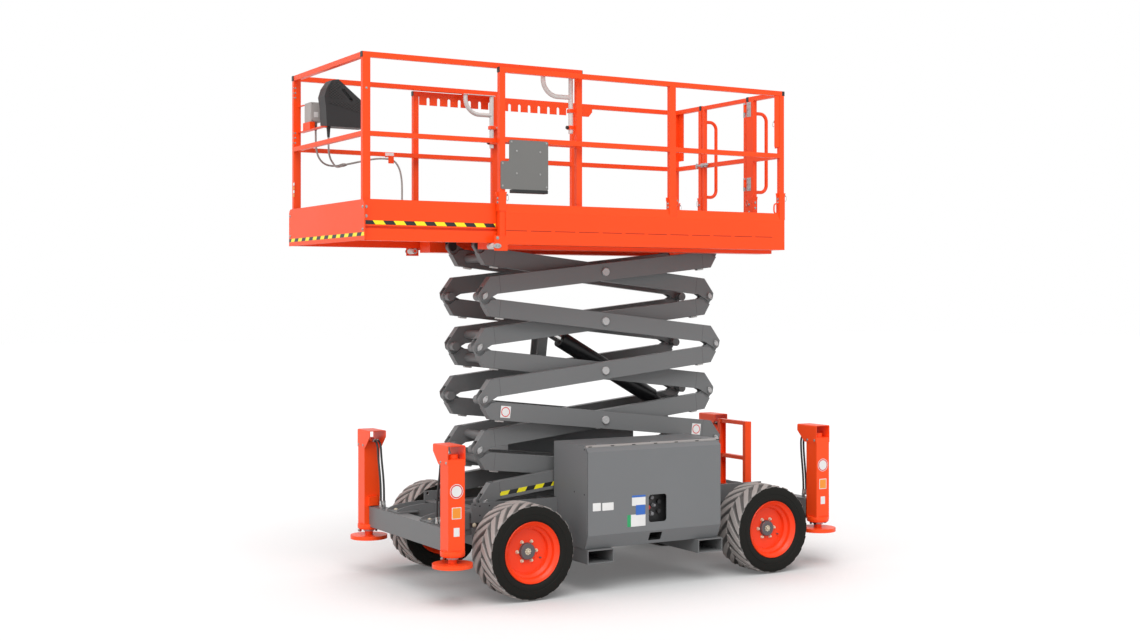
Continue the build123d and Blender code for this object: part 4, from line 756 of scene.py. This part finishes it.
lowest_pin_z = 0.623
rear_pin_x = -0.894
pin_span = 2.080
half_span = pin_span / 2
stage_height = 0.3727
pin_offset = 0.0725
arm_depth = 0.130
arm_width = 0.065
outer_arm_y = 0.270
inner_arm_y = 0.185
end_radius = 0.035
near_end = half_span - 0.1075
rest_angle = math.asin(stage_height / pin_span)
tube_angle = rest_angle - math.atan2(pin_offset, math.sqrt(half_span ** 2 - pin_offset ** 2))
stack_x = rear_pin_x + half_span * math.cos(rest_angle)
pad_white = plastic("rest_pad", (0.76, 0.74, 0.72), 0.5, 200.0)
seam_dark = jacket("seam_dark", (0.060, 0.060, 0.062), 0.6, 200.0)


def stage_z(k):
    """Height of the middle pins of stage k."""
    return lowest_pin_z + (k - 0.5) * stage_height


def on_arm(part, k, low_front):
    """A part drawn on a level arm, x from its lower to its upper end, laid into stage k: it is tilted by the
    arm's slope, and mirrored end to end where its lower end is in front."""
    p = np.asarray(part[0])
    c, s = math.cos(tube_angle), math.sin(tube_angle)
    x = p[:, 0] * c - p[:, 2] * s
    z = p[:, 0] * s + p[:, 2] * c
    if low_front:
        x = -x
    return np.stack([x + stack_x, p[:, 1], z + stage_z(k)], -1), part[1]


def lens_outline(length, width, round_end, count=10):
    """A pointed oval: two arcs whose half width falls as the square of the distance from the middle, cut off
    round at both ends."""
    u = np.linspace(-0.5, 0.5, count)
    v = width / 2 * (1 - (2 * u * (1 - round_end)) ** 2)
    return np.concatenate([np.stack([u * length, v], -1), np.stack([u[::-1] * length, -v[::-1]], -1)])


keeper_lens = lens_outline(0.058, 0.034, 0.12)
keeper_angle = 0.9
keeper_way = (math.cos(keeper_angle), math.sin(keeper_angle))
keeper_x, keeper_z = -half_span + 0.004, -pin_offset + 0.004
keeper_sheet = 0.004
pin_head = 0.010
seam_inset = 0.030
pin_plug = turned([(0, 0.0), (0, 0.0135), (0.006, 0.0125), (0.008, 0.008), (0.008, 0.0)], 20)
middle_cap = turned([(0.0, 0.0), (0.0, 0.0315), (0.0105, 0.0315), (0.0140, 0.028), (0.0150, 0.020),
                     (0.0142, 0.018), (0.0142, 0.010), (0.0148, 0.008), (0.0148, 0.0)], 40)
for k in range(1, 6):
    for kind, low_front, inner_y in (("outer", k % 2 == 1, outer_arm_y), ("inner", k % 2 == 0, inner_arm_y)):
        body = f"{kind}_arms_{k}"
        pads, keepers, screws, plugs, seams = [], [], [], [], []
        for side, tag, face in sides:
            outer_y = side * (inner_y + arm_width)
            mid_y = side * (inner_y + arm_width / 2)
            pads.append(placed(slab(box_outline(0.058, arm_width - 0.028, 0.004), 0.0115, 0.002),
                               (near_end - 0.0475, mid_y, -arm_depth / 2 - 0.0005), (1, 0, 0), (0, -1, 0)))
            head_y = outer_y + side * pin_head
            tilt = np.array([[-side * keeper_way[0], side * keeper_way[1]], [keeper_way[1], keeper_way[0]]])
            keepers.append(laid(keeper_lens @ tilt.T, (keeper_x, head_y, keeper_z), face, keeper_sheet,
                                0.001))
            screw_y = head_y + side * keeper_sheet
            spots = [(keeper_x + at * keeper_way[0], screw_y, keeper_z + at * keeper_way[1])
                     for at in (-0.018, 0.020)]
            screws.append(bolts(spots, face, 0.0055))
            plugs.append(moved(pointed(pin_plug, (0, 0, 1)),
                               (-half_span, mid_y, -pin_offset + end_radius - 0.002)))
            for at in (seam_inset - near_end, near_end - seam_inset):
                seams.append(laid(box_outline(0.0022, arm_depth - 0.006), (at, outer_y, 0), face,
                                  0.0004, 0.0001))
        group = (("rest_pads", pads, pad_white, "steel"), ("keeper_plates", keepers, keeper_white, "steel"),
                 ("keeper_screws", screws, zinc, "steel"), ("pin_plugs", plugs, black_and_painted_hole_shade, "black"),
                 ("weld_seams", seams, seam_dark, "arm_grey"))
        for name, parts, material, slot in group:
            piece(f"{name}_{kind}_{k}", on_arm(joined(*parts), k, low_front), material, body)
        if kind == "inner":
            caps = [moved(pointed(middle_cap, ways[face]), (0, side * (outer_arm_y + arm_width + 0.0005), 0))
                    for side, tag, face in sides]
            piece(f"middle_caps_{k}", on_arm(joined(*caps), k, low_front), keeper_white, body)


def hazard(name, along, pitch, shift=0.0):
    """Yellow and black bars: the place along a direction, plus a shift, over the pitch, has its fraction cut
    at half. A fine cloud dulls the yellow."""
    material, tree, shader = shader_of(name)
    place = add(tree, "TexCoord", out=3)
    run = add(tree, "VectorMath", {0: place, 1: [c / pitch for c in along]}, out=1, operation="DOT_PRODUCT")
    run = add(tree, "Math", {0: run, 1: shift / pitch}, operation="ADD")
    part = add(tree, "Math", {0: run}, operation="FRACT")
    bar = add(tree, "Math", {0: part, 1: 0.5}, operation="GREATER_THAN")
    rub = add(tree, "TexNoise", {"Vector": place, "Scale": 60.0, "Detail": 4.0})
    yellow = add(tree, "Mix", {0: rub, 6: (0.86, 0.74, 0.010, 1), 7: (0.95, 0.86, 0.02, 1)}, out=2,
                 data_type="RGBA")
    tint = add(tree, "Mix", {0: bar, 6: yellow, 7: (0.012, 0.013, 0.013, 1)}, out=2, data_type="RGBA")
    feed(tree, shader, Base_Color=tint)
    shader.inputs["Roughness"].default_value = 0.38
    return material


arm_way = np.array([math.cos(tube_angle), 0, -math.sin(tube_angle)])
arm_up = np.array([math.sin(tube_angle), 0, math.cos(tube_angle)])
lean = 0.74
bar_pitch = 0.145
strip_middle = -0.905 + 2.5 * bar_pitch
strip_drop = -0.026
bar_along = arm_way + lean * arm_up
bar_shift = 0.0565 - float(bar_along @ (stack_x, 0, stage_z(1)))
arm_bars = hazard("hazard_bars_arm", bar_along.tolist(), bar_pitch, bar_shift)
strips = []
for side, tag, face in sides:
    outer_y = side * (outer_arm_y + arm_width)
    flat = laid(box_outline(5 * bar_pitch, 0.030), (strip_middle, outer_y, strip_drop), face, thin, 0.0002)
    strips.append(on_arm(flat, 1, True))
piece("hazard_strips_arm", joined(*strips), arm_bars, "outer_arms_1", smooth=20)
signs, rings = [], []
for along_arm, drop in ((0.857, -0.001), (-0.842, -0.012)):
    for side, tag, face in sides:
        outer_y = side * (outer_arm_y + arm_width)
        signs.append(laid(box_outline(0.082, 0.086, 0.003), (along_arm, outer_y, drop), face, 0.0008))
        rings.append(ring_plate(0.036, 0.0065, (along_arm, outer_y + side * thin, drop), face, thin))
piece("arm_plates", on_arm(joined(*signs), 2, False), blank_white, "outer_arms_2")
piece("arm_plate_rims", on_arm(joined(*rings), 2, False), rim_red, "outer_arms_2")

# ------------------------------------------------------------------ platform and guardrails
# Folded steel deck and square tube rails in orange-red. The posts stand in sockets, each with a hitch pin on
# a split ring and four bolts; black plugs close the tube ends, and the floor is a sheet with raised beads.
# Pale keeper plates carry the gate's hinges and latch.
deck_half = 0.742
deck_floor = 2.590
deck_front = 1.240
deck_rear = -1.258
toe_top = 2.760
rail_top = 3.710
rail_middle_z = rail_top - 0.018
post_y = (0.700, 0.736)
post_mid_y = 0.718
dress(orange_coat, "platform_deck", "guardrail_left", "guardrail_right", "guardrail_rear", "entry_gate",
      "rollout_deck", "rollout_guardrail")
plate_grey = paint("plate_grey", (0.172, 0.170, 0.163), 0.44, 0.002)
dress(plate_grey, "tool_plate")
roller_white = plastic("roller_white", (0.62, 0.60, 0.58), 0.4, 150.0, 0.0001)
dress(roller_white, "deck_rollers")
seam_red = paint("seam_red", (0.30, 0.012, 0.006), 0.6, 0.001)
cap_black = plastic("cap_black", (0.012, 0.013, 0.013), 0.42, 500.0, 0.0002)


def tube_line(points, radius, closed=False, count=10):
    """A round tube along a line of points: at each point a circle stands square to the mean of the directions
    to its two neighbours."""
    p = np.asarray(points, float)
    ahead, behind = np.roll(p, -1, 0), np.roll(p, 1, 0)
    if not closed:
        ahead[-1], behind[0] = p[-1], p[0]
    way = ahead - behind
    way /= np.linalg.norm(way, axis=1)[:, None]
    fixed = np.array((0, 0, 1.0)) if abs(way[:, 2]).max() < 0.95 else np.array((0.31, 0.95, 0.05))
    side = np.cross(way, fixed)
    side /= np.linalg.norm(side, axis=1)[:, None]
    up = np.cross(side, way)
    t = np.arange(count) * 2 * np.pi / count
    c, s = np.cos(t)[None, :, None], np.sin(t)[None, :, None]
    ring = p[:, None] + radius * (c * side[:, None] + s * up[:, None])
    faces = grid_faces(len(p), count, closed, True)
    if not closed:
        faces += [list(range(count)), list(range((len(p) - 1) * count, len(p) * count))]
    return ring.reshape(-1, 3), faces


def hoop(place, radius, tall, wire, across):
    """An upright oval ring of wire in the plane of the up direction and a level direction across."""
    t = np.arange(24) * 2 * np.pi / 24
    level = np.outer(radius * np.cos(t), across)
    upright = np.outer(tall * np.sin(t), (0, 0, 1))
    return tube_line(np.asarray(place, float) + level + upright, wire, True, 8)


def socket(x0, x1, y0, y1, z0, z1, face):
    """A sleeve round a post, flared like a cup at its top edge; the profile faces a side or an end."""
    flare, rise = 0.006, 0.030
    width, depth = (x1 - x0, y1 - y0) if face in ("+y", "-y") else (y1 - y0, x1 - x0)
    half, tall = width / 2, z1 - z0
    outline = [(-half, 0.0), (half, 0.0), (half, tall - rise), (half + flare, tall), (-half - flare, tall),
               (-half, tall - rise)]
    centre = np.array(((x0 + x1) / 2, (y0 + y1) / 2, z0)) - depth / 2 * np.array(ways[face])
    return laid(outline, centre, face, depth, 0.0015)


sleeves, socket_bolts, pins, lugs = [], [], [], []
socket_wall = 0.006
gate_socket_wall = 0.005
# of each side post: its middle, its width, and the height of its socket's top edge
side_posts = ((deck_front - 0.022, 0.044, 2.842), (-0.2135, 0.053, 2.850), (deck_rear + 0.020, 0.040, 2.918))
hitch_pin = turned([(0, 0.0), (0, 0.006), (0.024, 0.006), (0.026, 0.004), (0.026, 0.0)], 12)
for side, tag, face in sides:
    for x, width, top in side_posts:
        half = width / 2 + socket_wall
        y0, y1 = sorted((side * (post_y[0] - 0.005), side * (post_y[1] + 0.0045)))
        sleeves.append(socket(x - half, x + half, y0, y1, toe_top - 0.052, top, face))
        for end, way in ((1, "+x"), (-1, "-x")):
            spots = [(x + end * half, side * post_mid_y, top - drop) for drop in (0.046, 0.074)]
            socket_bolts.append(bolts(spots, way, 0.007))
        pin_x = x - width / 2 - 0.014
        pins.append(moved(pointed(hitch_pin, (-1, 0, 0)), (pin_x + 0.010, side * post_mid_y, top - 0.020)))
        pins.append(hoop((pin_x - 0.012, side * post_mid_y, top - 0.040), 0.016, 0.022, 0.0014, (0, 1, 0)))
        lugs.append(laid(box_outline(0.022, 0.030, 0.006),
                         (x + width / 2 + 0.012, side * post_mid_y - 0.004, top - 0.016), "+y", 0.008, 0.001))
# of each gate post: the same, across the rear edge
gate_posts = ((-0.341, 0.044, 2.941), (0.3445, 0.091, 2.910))
for y, width, top in gate_posts:
    half = width / 2 + gate_socket_wall
    sleeves.append(socket(deck_rear - 0.002, deck_rear + 0.041, y - half, y + half, deck_floor + 0.005, top,
                          "+x"))
    for end, way in ((1, "+y"), (-1, "-y")):
        spots = [(deck_rear + 0.019, y + end * half, top - drop) for drop in (0.046, 0.090)]
        socket_bolts.append(bolts(spots, way, 0.007))
    spots = [(deck_rear + 0.041, y, top - drop) for drop in (0.060, 0.120)]
    socket_bolts.append(bolts(spots, "+x", 0.007))
    pins.append(hoop((deck_rear + 0.046, y - 0.020, top - 0.050), 0.014, 0.024, 0.0014, (0, 1, 0)))
piece("post_sockets", joined(*sleeves), orange_coat, "platform")
piece("socket_bolts", joined(*socket_bolts), zinc, "platform")
piece("hitch_pins", joined(*pins), zinc, "platform")
piece("socket_lugs", joined(*lugs), orange_coat, "platform")

caps = []
side_cap = box_outline(0.0375, 0.0375, 0.004)
for side, tag, face in sides:
    caps.append(laid(side_cap, (deck_front - 0.001, side * post_mid_y, rail_middle_z), "+x", 0.005, 0.0015))
    caps.append(laid(side_cap, (deck_rear + 0.020, side * post_mid_y, rail_middle_z), "-x", 0.026, 0.0015))
for y in (-0.3345, 0.3145):
    caps.append(laid(box_outline(0.030, 0.0385, 0.004), (deck_rear - 0.001, y, rail_middle_z), "+x", 0.039,
                     0.0015))
piece("rail_end_caps", joined(*caps), cap_black, "platform")

seam_length = 0.167
seam_z = 2.573
seams = []
for side, tag, face in sides:
    seams += [laid(box_outline(seam_length, 0.004, 0.0015), (x - seam_length / 2, side * deck_half, seam_z),
                   face, 0.0005, 0.0002) for x in np.arange(1.194, -1.0, -0.197)]
piece("deck_side_seams", joined(*seams), seam_red, "platform")

# floor sheets with a pattern of raised beads
beaded_floor, tree, shader = shader_of("beaded_floor")
place = add(tree, "TexCoord", out=3)
beads = add(tree, "TexVoronoi", {"Vector": place, "Scale": 46.0, "Randomness": 0.0})
rise = add(tree, "MapRange", {"Value": beads, "From Min": 0.30, "From Max": 0.16})
scuff = add(tree, "TexNoise", {"Vector": place, "Scale": 14.0, "Detail": 5.0})
tint = add(tree, "Mix", {0: scuff, 6: (0.17, 0.17, 0.175, 1), 7: (0.26, 0.26, 0.265, 1)}, out=2,
           data_type="RGBA")
skin = add(tree, "Bump", {"Strength": 0.8, "Distance": 0.0015, "Height": rise})
feed(tree, shader, Base_Color=tint, Normal=skin)
shader.inputs["Roughness"].default_value = 0.45
shader.inputs["Metallic"].default_value = 0.6
floor_sheet = laid(box_outline(2.446, 1.150, 0.010), (0.013, 0.0, deck_floor), "+z", 0.0015, 0.0004)
piece("deck_floor_sheet", floor_sheet, beaded_floor, "platform")

# gate hinges, latch and the tie-off ring
light_grey = paint("light_grey_coat", (0.63, 0.61, 0.59), 0.34, 0.002)
hinge_heights = ((3.552, 3.670), (2.960, 3.065))
gate_edge_y = 0.273
latch_z = 3.210
post_leaves, gate_leaves, screw_heights = [], [], []
for z0, z1 in hinge_heights:
    middle, tall = (z0 + z1) / 2, z1 - z0
    post_leaves.append(laid(box_outline(0.056, tall, 0.003), (deck_rear + 0.036, 0.334, middle), "+x", 0.0025,
                            0.0006))
    gate_leaves.append(laid(box_outline(0.026, tall, 0.003), (deck_rear + 0.034, gate_edge_y, middle), "+x",
                            0.0025, 0.0006))
    screw_heights += [z0 + share * tall for share in (0.15, 0.5, 0.85)]
piece("hinge_leaves_post", joined(*post_leaves), keeper_white, "platform")
piece("hinge_leaves_gate", joined(*gate_leaves), keeper_white, "gate")
spots = [(deck_rear + 0.0385, y, z) for z in screw_heights for y in (0.322, 0.350)]
piece("hinge_screws_post", bolts(spots, "+x", 0.0045), zinc, "platform")
spots = [(deck_rear + 0.0365, gate_edge_y, z) for z in screw_heights]
piece("hinge_screws_gate", bolts(spots, "+x", 0.0045), zinc, "gate")
rod = turned([(0, 0.0), (0, 0.006), (0.003, 0.008), (0.150, 0.008), (0.153, 0.006), (0.153, 0.0)], 20)
guide = slab(box_outline(0.026, 0.034, 0.004), 0.022, 0.002)
guides = [placed(guide, (deck_rear + 0.034, y, latch_z), (0, 1, 0), (0, 0, 1)) for y in (-0.240, -0.292)]
latch = joined(moved(pointed(rod, (0, -1, 0)), (deck_rear + 0.052, -0.205, latch_z)), *guides)
piece("gate_latch", latch, keeper_white, "gate")
keep = placed(slab(box_outline(0.022, 0.044, 0.004), 0.010, 0.002), (deck_rear + 0.036, -0.380, latch_z),
              (0, 1, 0), (0, 0, 1))
piece("latch_keep", keep, keeper_white, "platform")
# the ring's line: an oval with squared shoulders, each coordinate the 0.6th power of its cosine or sine
t = np.arange(40) * 2 * np.pi / 40
oval = np.stack([-1.201 + 0.030 * np.sign(np.cos(t)) * abs(np.cos(t)) ** 0.6, 0.721 + 0 * t,
                 2.797 + 0.038 * np.sign(np.sin(t)) * abs(np.sin(t)) ** 0.6], -1)
piece("tie_off_ring", tube_line(oval, 0.006, True, 12), orange_coat, "platform")
pins, plates, rings = [], [], []
for side, tag, face in sides:
    pins.append(moved(pointed(hex_head(0.007), ways[face]), (-1.188, side * 0.706, 3.473)))
    rings.append(hoop((-1.188, side * 0.694, 3.452), 0.010, 0.018, 0.0014, (1, 0, 0)))
    plates.append(laid(box_outline(0.088, 0.40, 0.004), (-1.213, side * 0.7262, 3.4745), face, 0.006, 0.001))
piece("corner_plate_pins", joined(*pins, *rings), zinc, "platform")
piece("corner_plates", joined(*plates), orange_coat, "platform")

# roller brackets: bolt heads and a pointed washer on the axle's end
roller_x = deck_front + 0.022
roller_z = 2.4647
washer_sheet = 0.005
washers, heads = [], []
for side, tag, face in sides:
    washers.append(laid(lens_outline(0.058, 0.036, 0.2), (roller_x, side * deck_half, roller_z), face,
                        washer_sheet, 0.0012))
    spots = [(roller_x + dx, side * (deck_half + washer_sheet), roller_z) for dx in (0.012, -0.012)]
    heads.append(bolts(spots, face, 0.0055))
    heads.append(bolts([(roller_x - 0.002, side * deck_half, 2.520)], face, 0.0085))
piece("roller_washers", joined(*washers), keeper_white, "platform")
piece("roller_bolts", joined(*heads), zinc, "platform")

# plate and tray on the left mid rail
tool_plate_y = 0.744
tool_plate_holes = ((1.151, 3.193), (0.871, 3.193), (1.221, 3.040), (1.221, 2.884), (1.109, 3.130),
                    (0.922, 3.130), (1.109, 2.973), (0.922, 2.973), (0.871, 2.884))
spots = [(x, tool_plate_y, z) for x, z in tool_plate_holes]
piece("tool_plate_bolts", bolts(spots, "+y", 0.0055), zinc, "platform")
tray = placed(slab(box_outline(0.281, 0.0245, 0.004), 0.057, 0.003), (0.9985, 0.689, 2.8500), (-1, 0, 0),
              (0, 0, 1))
piece("tray_cover", tray, cap_black, "platform")

# ------------------------------------------------------------------ roll-out deck
# The deck that slides out carries the control box, on a rail with light grey grips for pushing it. Hazard
# stripes run along its edges, rows of small bolts hold the front post, and the cables hang from a clip on the
# right mid rail.
ext_front = 2.243
ext_half = 0.679
ext_rear = 0.536
ext_rail_top = 3.746
ext_rail_middle_z = ext_rail_top - 0.018
ext_post_mid = 0.657
deck_pitch = 0.151
front_pitch = 0.149
deck_bars = hazard("hazard_bars_deck", (1, 0, -lean), deck_pitch)
front_bars = hazard("hazard_bars_front", (0, 1, -lean), front_pitch, 0.0104)
strips = [laid(box_outline(0.992, 0.027), (1.739, side * ext_half, 2.608), face, thin, 0.0002)
          for side, tag, face in sides]
piece("hazard_strips_deck", joined(*strips), deck_bars, "rollout", smooth=20)
strip = laid(box_outline(1.432, 0.024), (ext_front, 0, 2.529), "+x", thin, 0.0002)
piece("hazard_strip_front", strip, front_bars, "rollout", smooth=20)
floor_sheet = laid(box_outline(1.670, 1.260, 0.010), (1.395, 0.0, 2.606), "+z", 0.0015, 0.0004)
piece("rollout_floor_sheet", floor_sheet, beaded_floor, "rollout")
caps = []
end_cap = box_outline(0.0345, 0.0375, 0.004)
for side, tag, face in sides:
    for x, way in ((ext_front - 0.009, "+x"), (ext_rear + 0.001, "-x")):
        caps.append(laid(end_cap, (x, side * ext_post_mid, ext_rail_middle_z), way, 0.006, 0.0015))
piece("rollout_rail_caps", joined(*caps), cap_black, "rollout")
heads, nuts = [], []
for side, tag, face in sides:
    heads.append(bolts([(ext_front, side * 0.694, z) for z in (2.710, 2.560)], "+x", 0.008))
    nuts.append(bolts([(ext_front - 0.030, side * ext_half, z) for z in (2.712, 2.650)], face, 0.008))
    nuts.append(bolts([(2.208, side * (ext_half - 0.005), 3.503)], face, 0.006))
post_heights = (3.250, 3.287, 3.323, 3.584, 3.620, 3.656)
post_rows = ((2.223, -0.674, "-y"), (2.223, -0.640, "+y"), (2.180, -ext_post_mid, "-x"),
             (2.235, -0.649, "+x"))
for x, y, way in post_rows:
    nuts.append(bolts([(x, y, z) for z in post_heights], way, 0.0050))
piece("front_plate_bolts", joined(*heads, *nuts), zinc, "rollout")
post_plate = box_outline(0.030, 0.022, 0.002)
for colour, coat, slot, heights in (("white", blank_white, "box_grey", (2.945, 2.889)),
                                    ("orange", blank_orange, "orange", (2.917, 2.861))):
    plates = [laid(post_plate, (2.235, -0.640, z), "+x", thin, 0.0002) for z in heights]
    piece("post_plates_" + colour, joined(*plates), coat, "rollout")

# grips: clamps and flanges in orange, with a black stop screw
dress(light_grey, "rollout_grips")
grip_top = ext_rail_top - 0.044
grip_bottom = ext_rail_top - 0.456
grip_y = 0.5985
low_clamp_z = grip_bottom + 0.043
stop_screw = turned([(0, 0.0), (0, 0.013), (0.014, 0.013), (0.016, 0.011), (0.016, 0.0)], 20)
clamps, stops, heads = [], [], []
for side, tag, face in sides:
    for z in (low_clamp_z, ext_rail_top - 0.293):
        clamps.append(placed(slab(box_outline(0.078, 0.0285, 0.004), 0.0415, 0.002),
                             (0.5825, side * grip_y, z), (-side, 0, 0), (0, 0, 1)))
        heads.append(bolts([(0.560, side * grip_y, z)], "-y" if side > 0 else "+y", 0.006))
    clamps.append(placed(slab(box_outline(0.280, 0.0405, 0.010), 0.0065, 0.001),
                         (0.715, side * 0.6195, grip_top - 0.003), (1, 0, 0), (0, 1, 0)))
    stops.append(moved(pointed(stop_screw, (1, 0, 0)), (0.6215, side * 0.6190, low_clamp_z)))
piece("grip_clamps", joined(*clamps), orange_coat, "rollout")
piece("grip_stops", joined(*stops), cap_black, "rollout")
piece("grip_bolts", joined(*heads), zinc, "rollout")

# control box: black moulding, padded in diamonds on both sides, with a joystick and a stop button behind;
# a grey junction box hangs below it
dress(black_plastic, "control_box")
box_beige = plastic("box_beige", (0.42, 0.40, 0.385), 0.5)
dress(box_beige, "junction_box")
box_low, box_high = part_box("control_box")
box_mid_y = (box_low[1] + box_high[1]) / 2
diamond = 0.026
slant = 1.35
cell = 0.0022
quilt_x, quilt_z = np.arange(1.876, 2.154, cell), np.arange(3.400, 3.660, cell)
# the box's outline from the side: distances back from its front, and heights of its top there
roof_front = 2.166
roof_back = (0.0, 0.008, 0.019, 0.039, 0.088, 0.294)
roof_height = (3.605, 3.621, 3.631, 3.662, 3.671, 3.506)
hand_hole = (2.011, 3.563)
hand_hole_tilt = 0.82
hand_hole_half = (0.078, 0.030)


def quilted(x, z):
    """Height of the padded side: a base, plus the square root of |cos a cos b|, where a and b grow along the
    two slanting directions and a half turn of either is one diamond."""
    a, b = np.pi * (x - slant * z) / diamond, np.pi * (x + slant * z) / diamond
    return 0.0004 + 0.0030 * np.sqrt(abs(np.cos(a) * np.cos(b)))


def quilt(face_y, out):
    """A padded sheet on the side of the box: a grid of its heights, kept where all four corners of a cell lie
    in the padded field, which is clear of the edges, the hand hole, the belt in front of the hole and the
    plain lower part."""
    x, z = np.meshgrid(quilt_x, quilt_z, indexing="ij")
    roof = np.interp(roof_front - x, roof_back, roof_height)
    c, s = math.cos(hand_hole_tilt), math.sin(hand_hole_tilt)
    dx, dz = x - hand_hole[0], z - hand_hole[1]
    hole = (abs(c * dx + s * dz) < hand_hole_half[0]) & (abs(c * dz - s * dx) < hand_hole_half[1])
    belt = (abs(z - 3.520) < 0.012) & (x > 1.985)
    above = (z - 0.2417 * x > 2.975) & (z < roof - 0.020)
    field = ~hole & ~belt & above & (x > 1.884) & (x < 2.150)
    points = np.stack([x, face_y + out * quilted(x, z), z], -1).reshape(-1, 3)
    inside = field[:-1, :-1] & field[1:, :-1] & field[:-1, 1:] & field[1:, 1:]
    faces = np.array(grid_faces(len(quilt_x), len(quilt_z)))[inside.reshape(-1)]
    used, faces = np.unique(faces, return_inverse=True)
    return points[used], faces.reshape(-1, 4).tolist()


# the padding's colour is a painted shade: darker in the seams between the diamonds and lighter on their
# crowns, by |cos a cos b| as in quilted()
quilt_plastic_painted_shade = plastic("quilt_plastic_painted_shade", (0.011, 0.011, 0.011), 0.50)
tree = quilt_plastic_painted_shade.node_tree
shader = tree.nodes["Principled BSDF"]
place = add(tree, "TexCoord", out=3)
waves = []
for way in (-slant, slant):
    run = add(tree, "VectorMath", {0: place, 1: (math.pi / diamond, 0, way * math.pi / diamond)}, out=1,
              operation="DOT_PRODUCT")
    wave = add(tree, "Math", {0: run}, operation="COSINE")
    waves.append(add(tree, "Math", {0: wave}, operation="ABSOLUTE"))
painted_pad_shading = add(tree, "Math", {0: waves[0], 1: waves[1]}, operation="MULTIPLY")
tint = add(tree, "MapRange",
           {"Value": painted_pad_shading, "From Min": 0.0, "From Max": 0.55, "To Min": 0.0015, "To Max": 0.060})
feed(tree, shader, Base_Color=tint)
shader.inputs["Specular IOR Level"].default_value = 0.16
for out, tag, face_y in ((1, "left", box_high[1]), (-1, "right", box_low[1])):
    piece("control_box_quilting_" + tag, quilt(face_y, out), quilt_plastic_painted_shade, "rollout", smooth=60)
stick = turned([(0, 0.0), (0, 0.018), (0.005, 0.017), (0.009, 0.009), (0.014, 0.006), (0.026, 0.006),
                (0.029, 0.010), (0.042, 0.012), (0.048, 0.009), (0.050, 0.0)], 24)
piece("joystick", moved(pointed(stick, (-1, 0, 0.25)), (1.8725, box_mid_y - 0.036, 3.430)), cap_black,
      "rollout")
stop = turned([(0, 0.0), (0, 0.020), (0.004, 0.020), (0.005, 0.012), (0.014, 0.012), (0.015, 0.018),
               (0.023, 0.018), (0.027, 0.012), (0.028, 0.0)], 28)
piece("platform_stop_button", moved(pointed(stop, (-1, 0, 0)), (1.8722, box_mid_y + 0.030, 3.385)),
      red_plastic, "rollout")
spots = [(x, -0.4100, z) for x in (2.115, 2.180) for z in (3.397, 3.520)]
piece("junction_box_screws", bolts(spots, "+y", 0.0045), zinc, "rollout")
lid = laid(box_outline(0.078, 0.136, 0.006), (2.1475, -0.4102, 3.4585), "+y", 0.003, 0.001)
piece("junction_box_lid", lid, box_beige, "rollout")
lid_plate = laid(box_outline(0.034, 0.040, 0.002), (2.150, -0.4072, 3.440), "+y", thin, 0.0002)
piece("junction_box_plate", lid_plate, blank_white, "rollout")
rail_plate = laid(box_outline(0.072, 0.024, 0.003), (1.468, -0.640, 3.202), "+y", 0.0008)
piece("rail_plate", rail_plate, blank_white, "rollout")
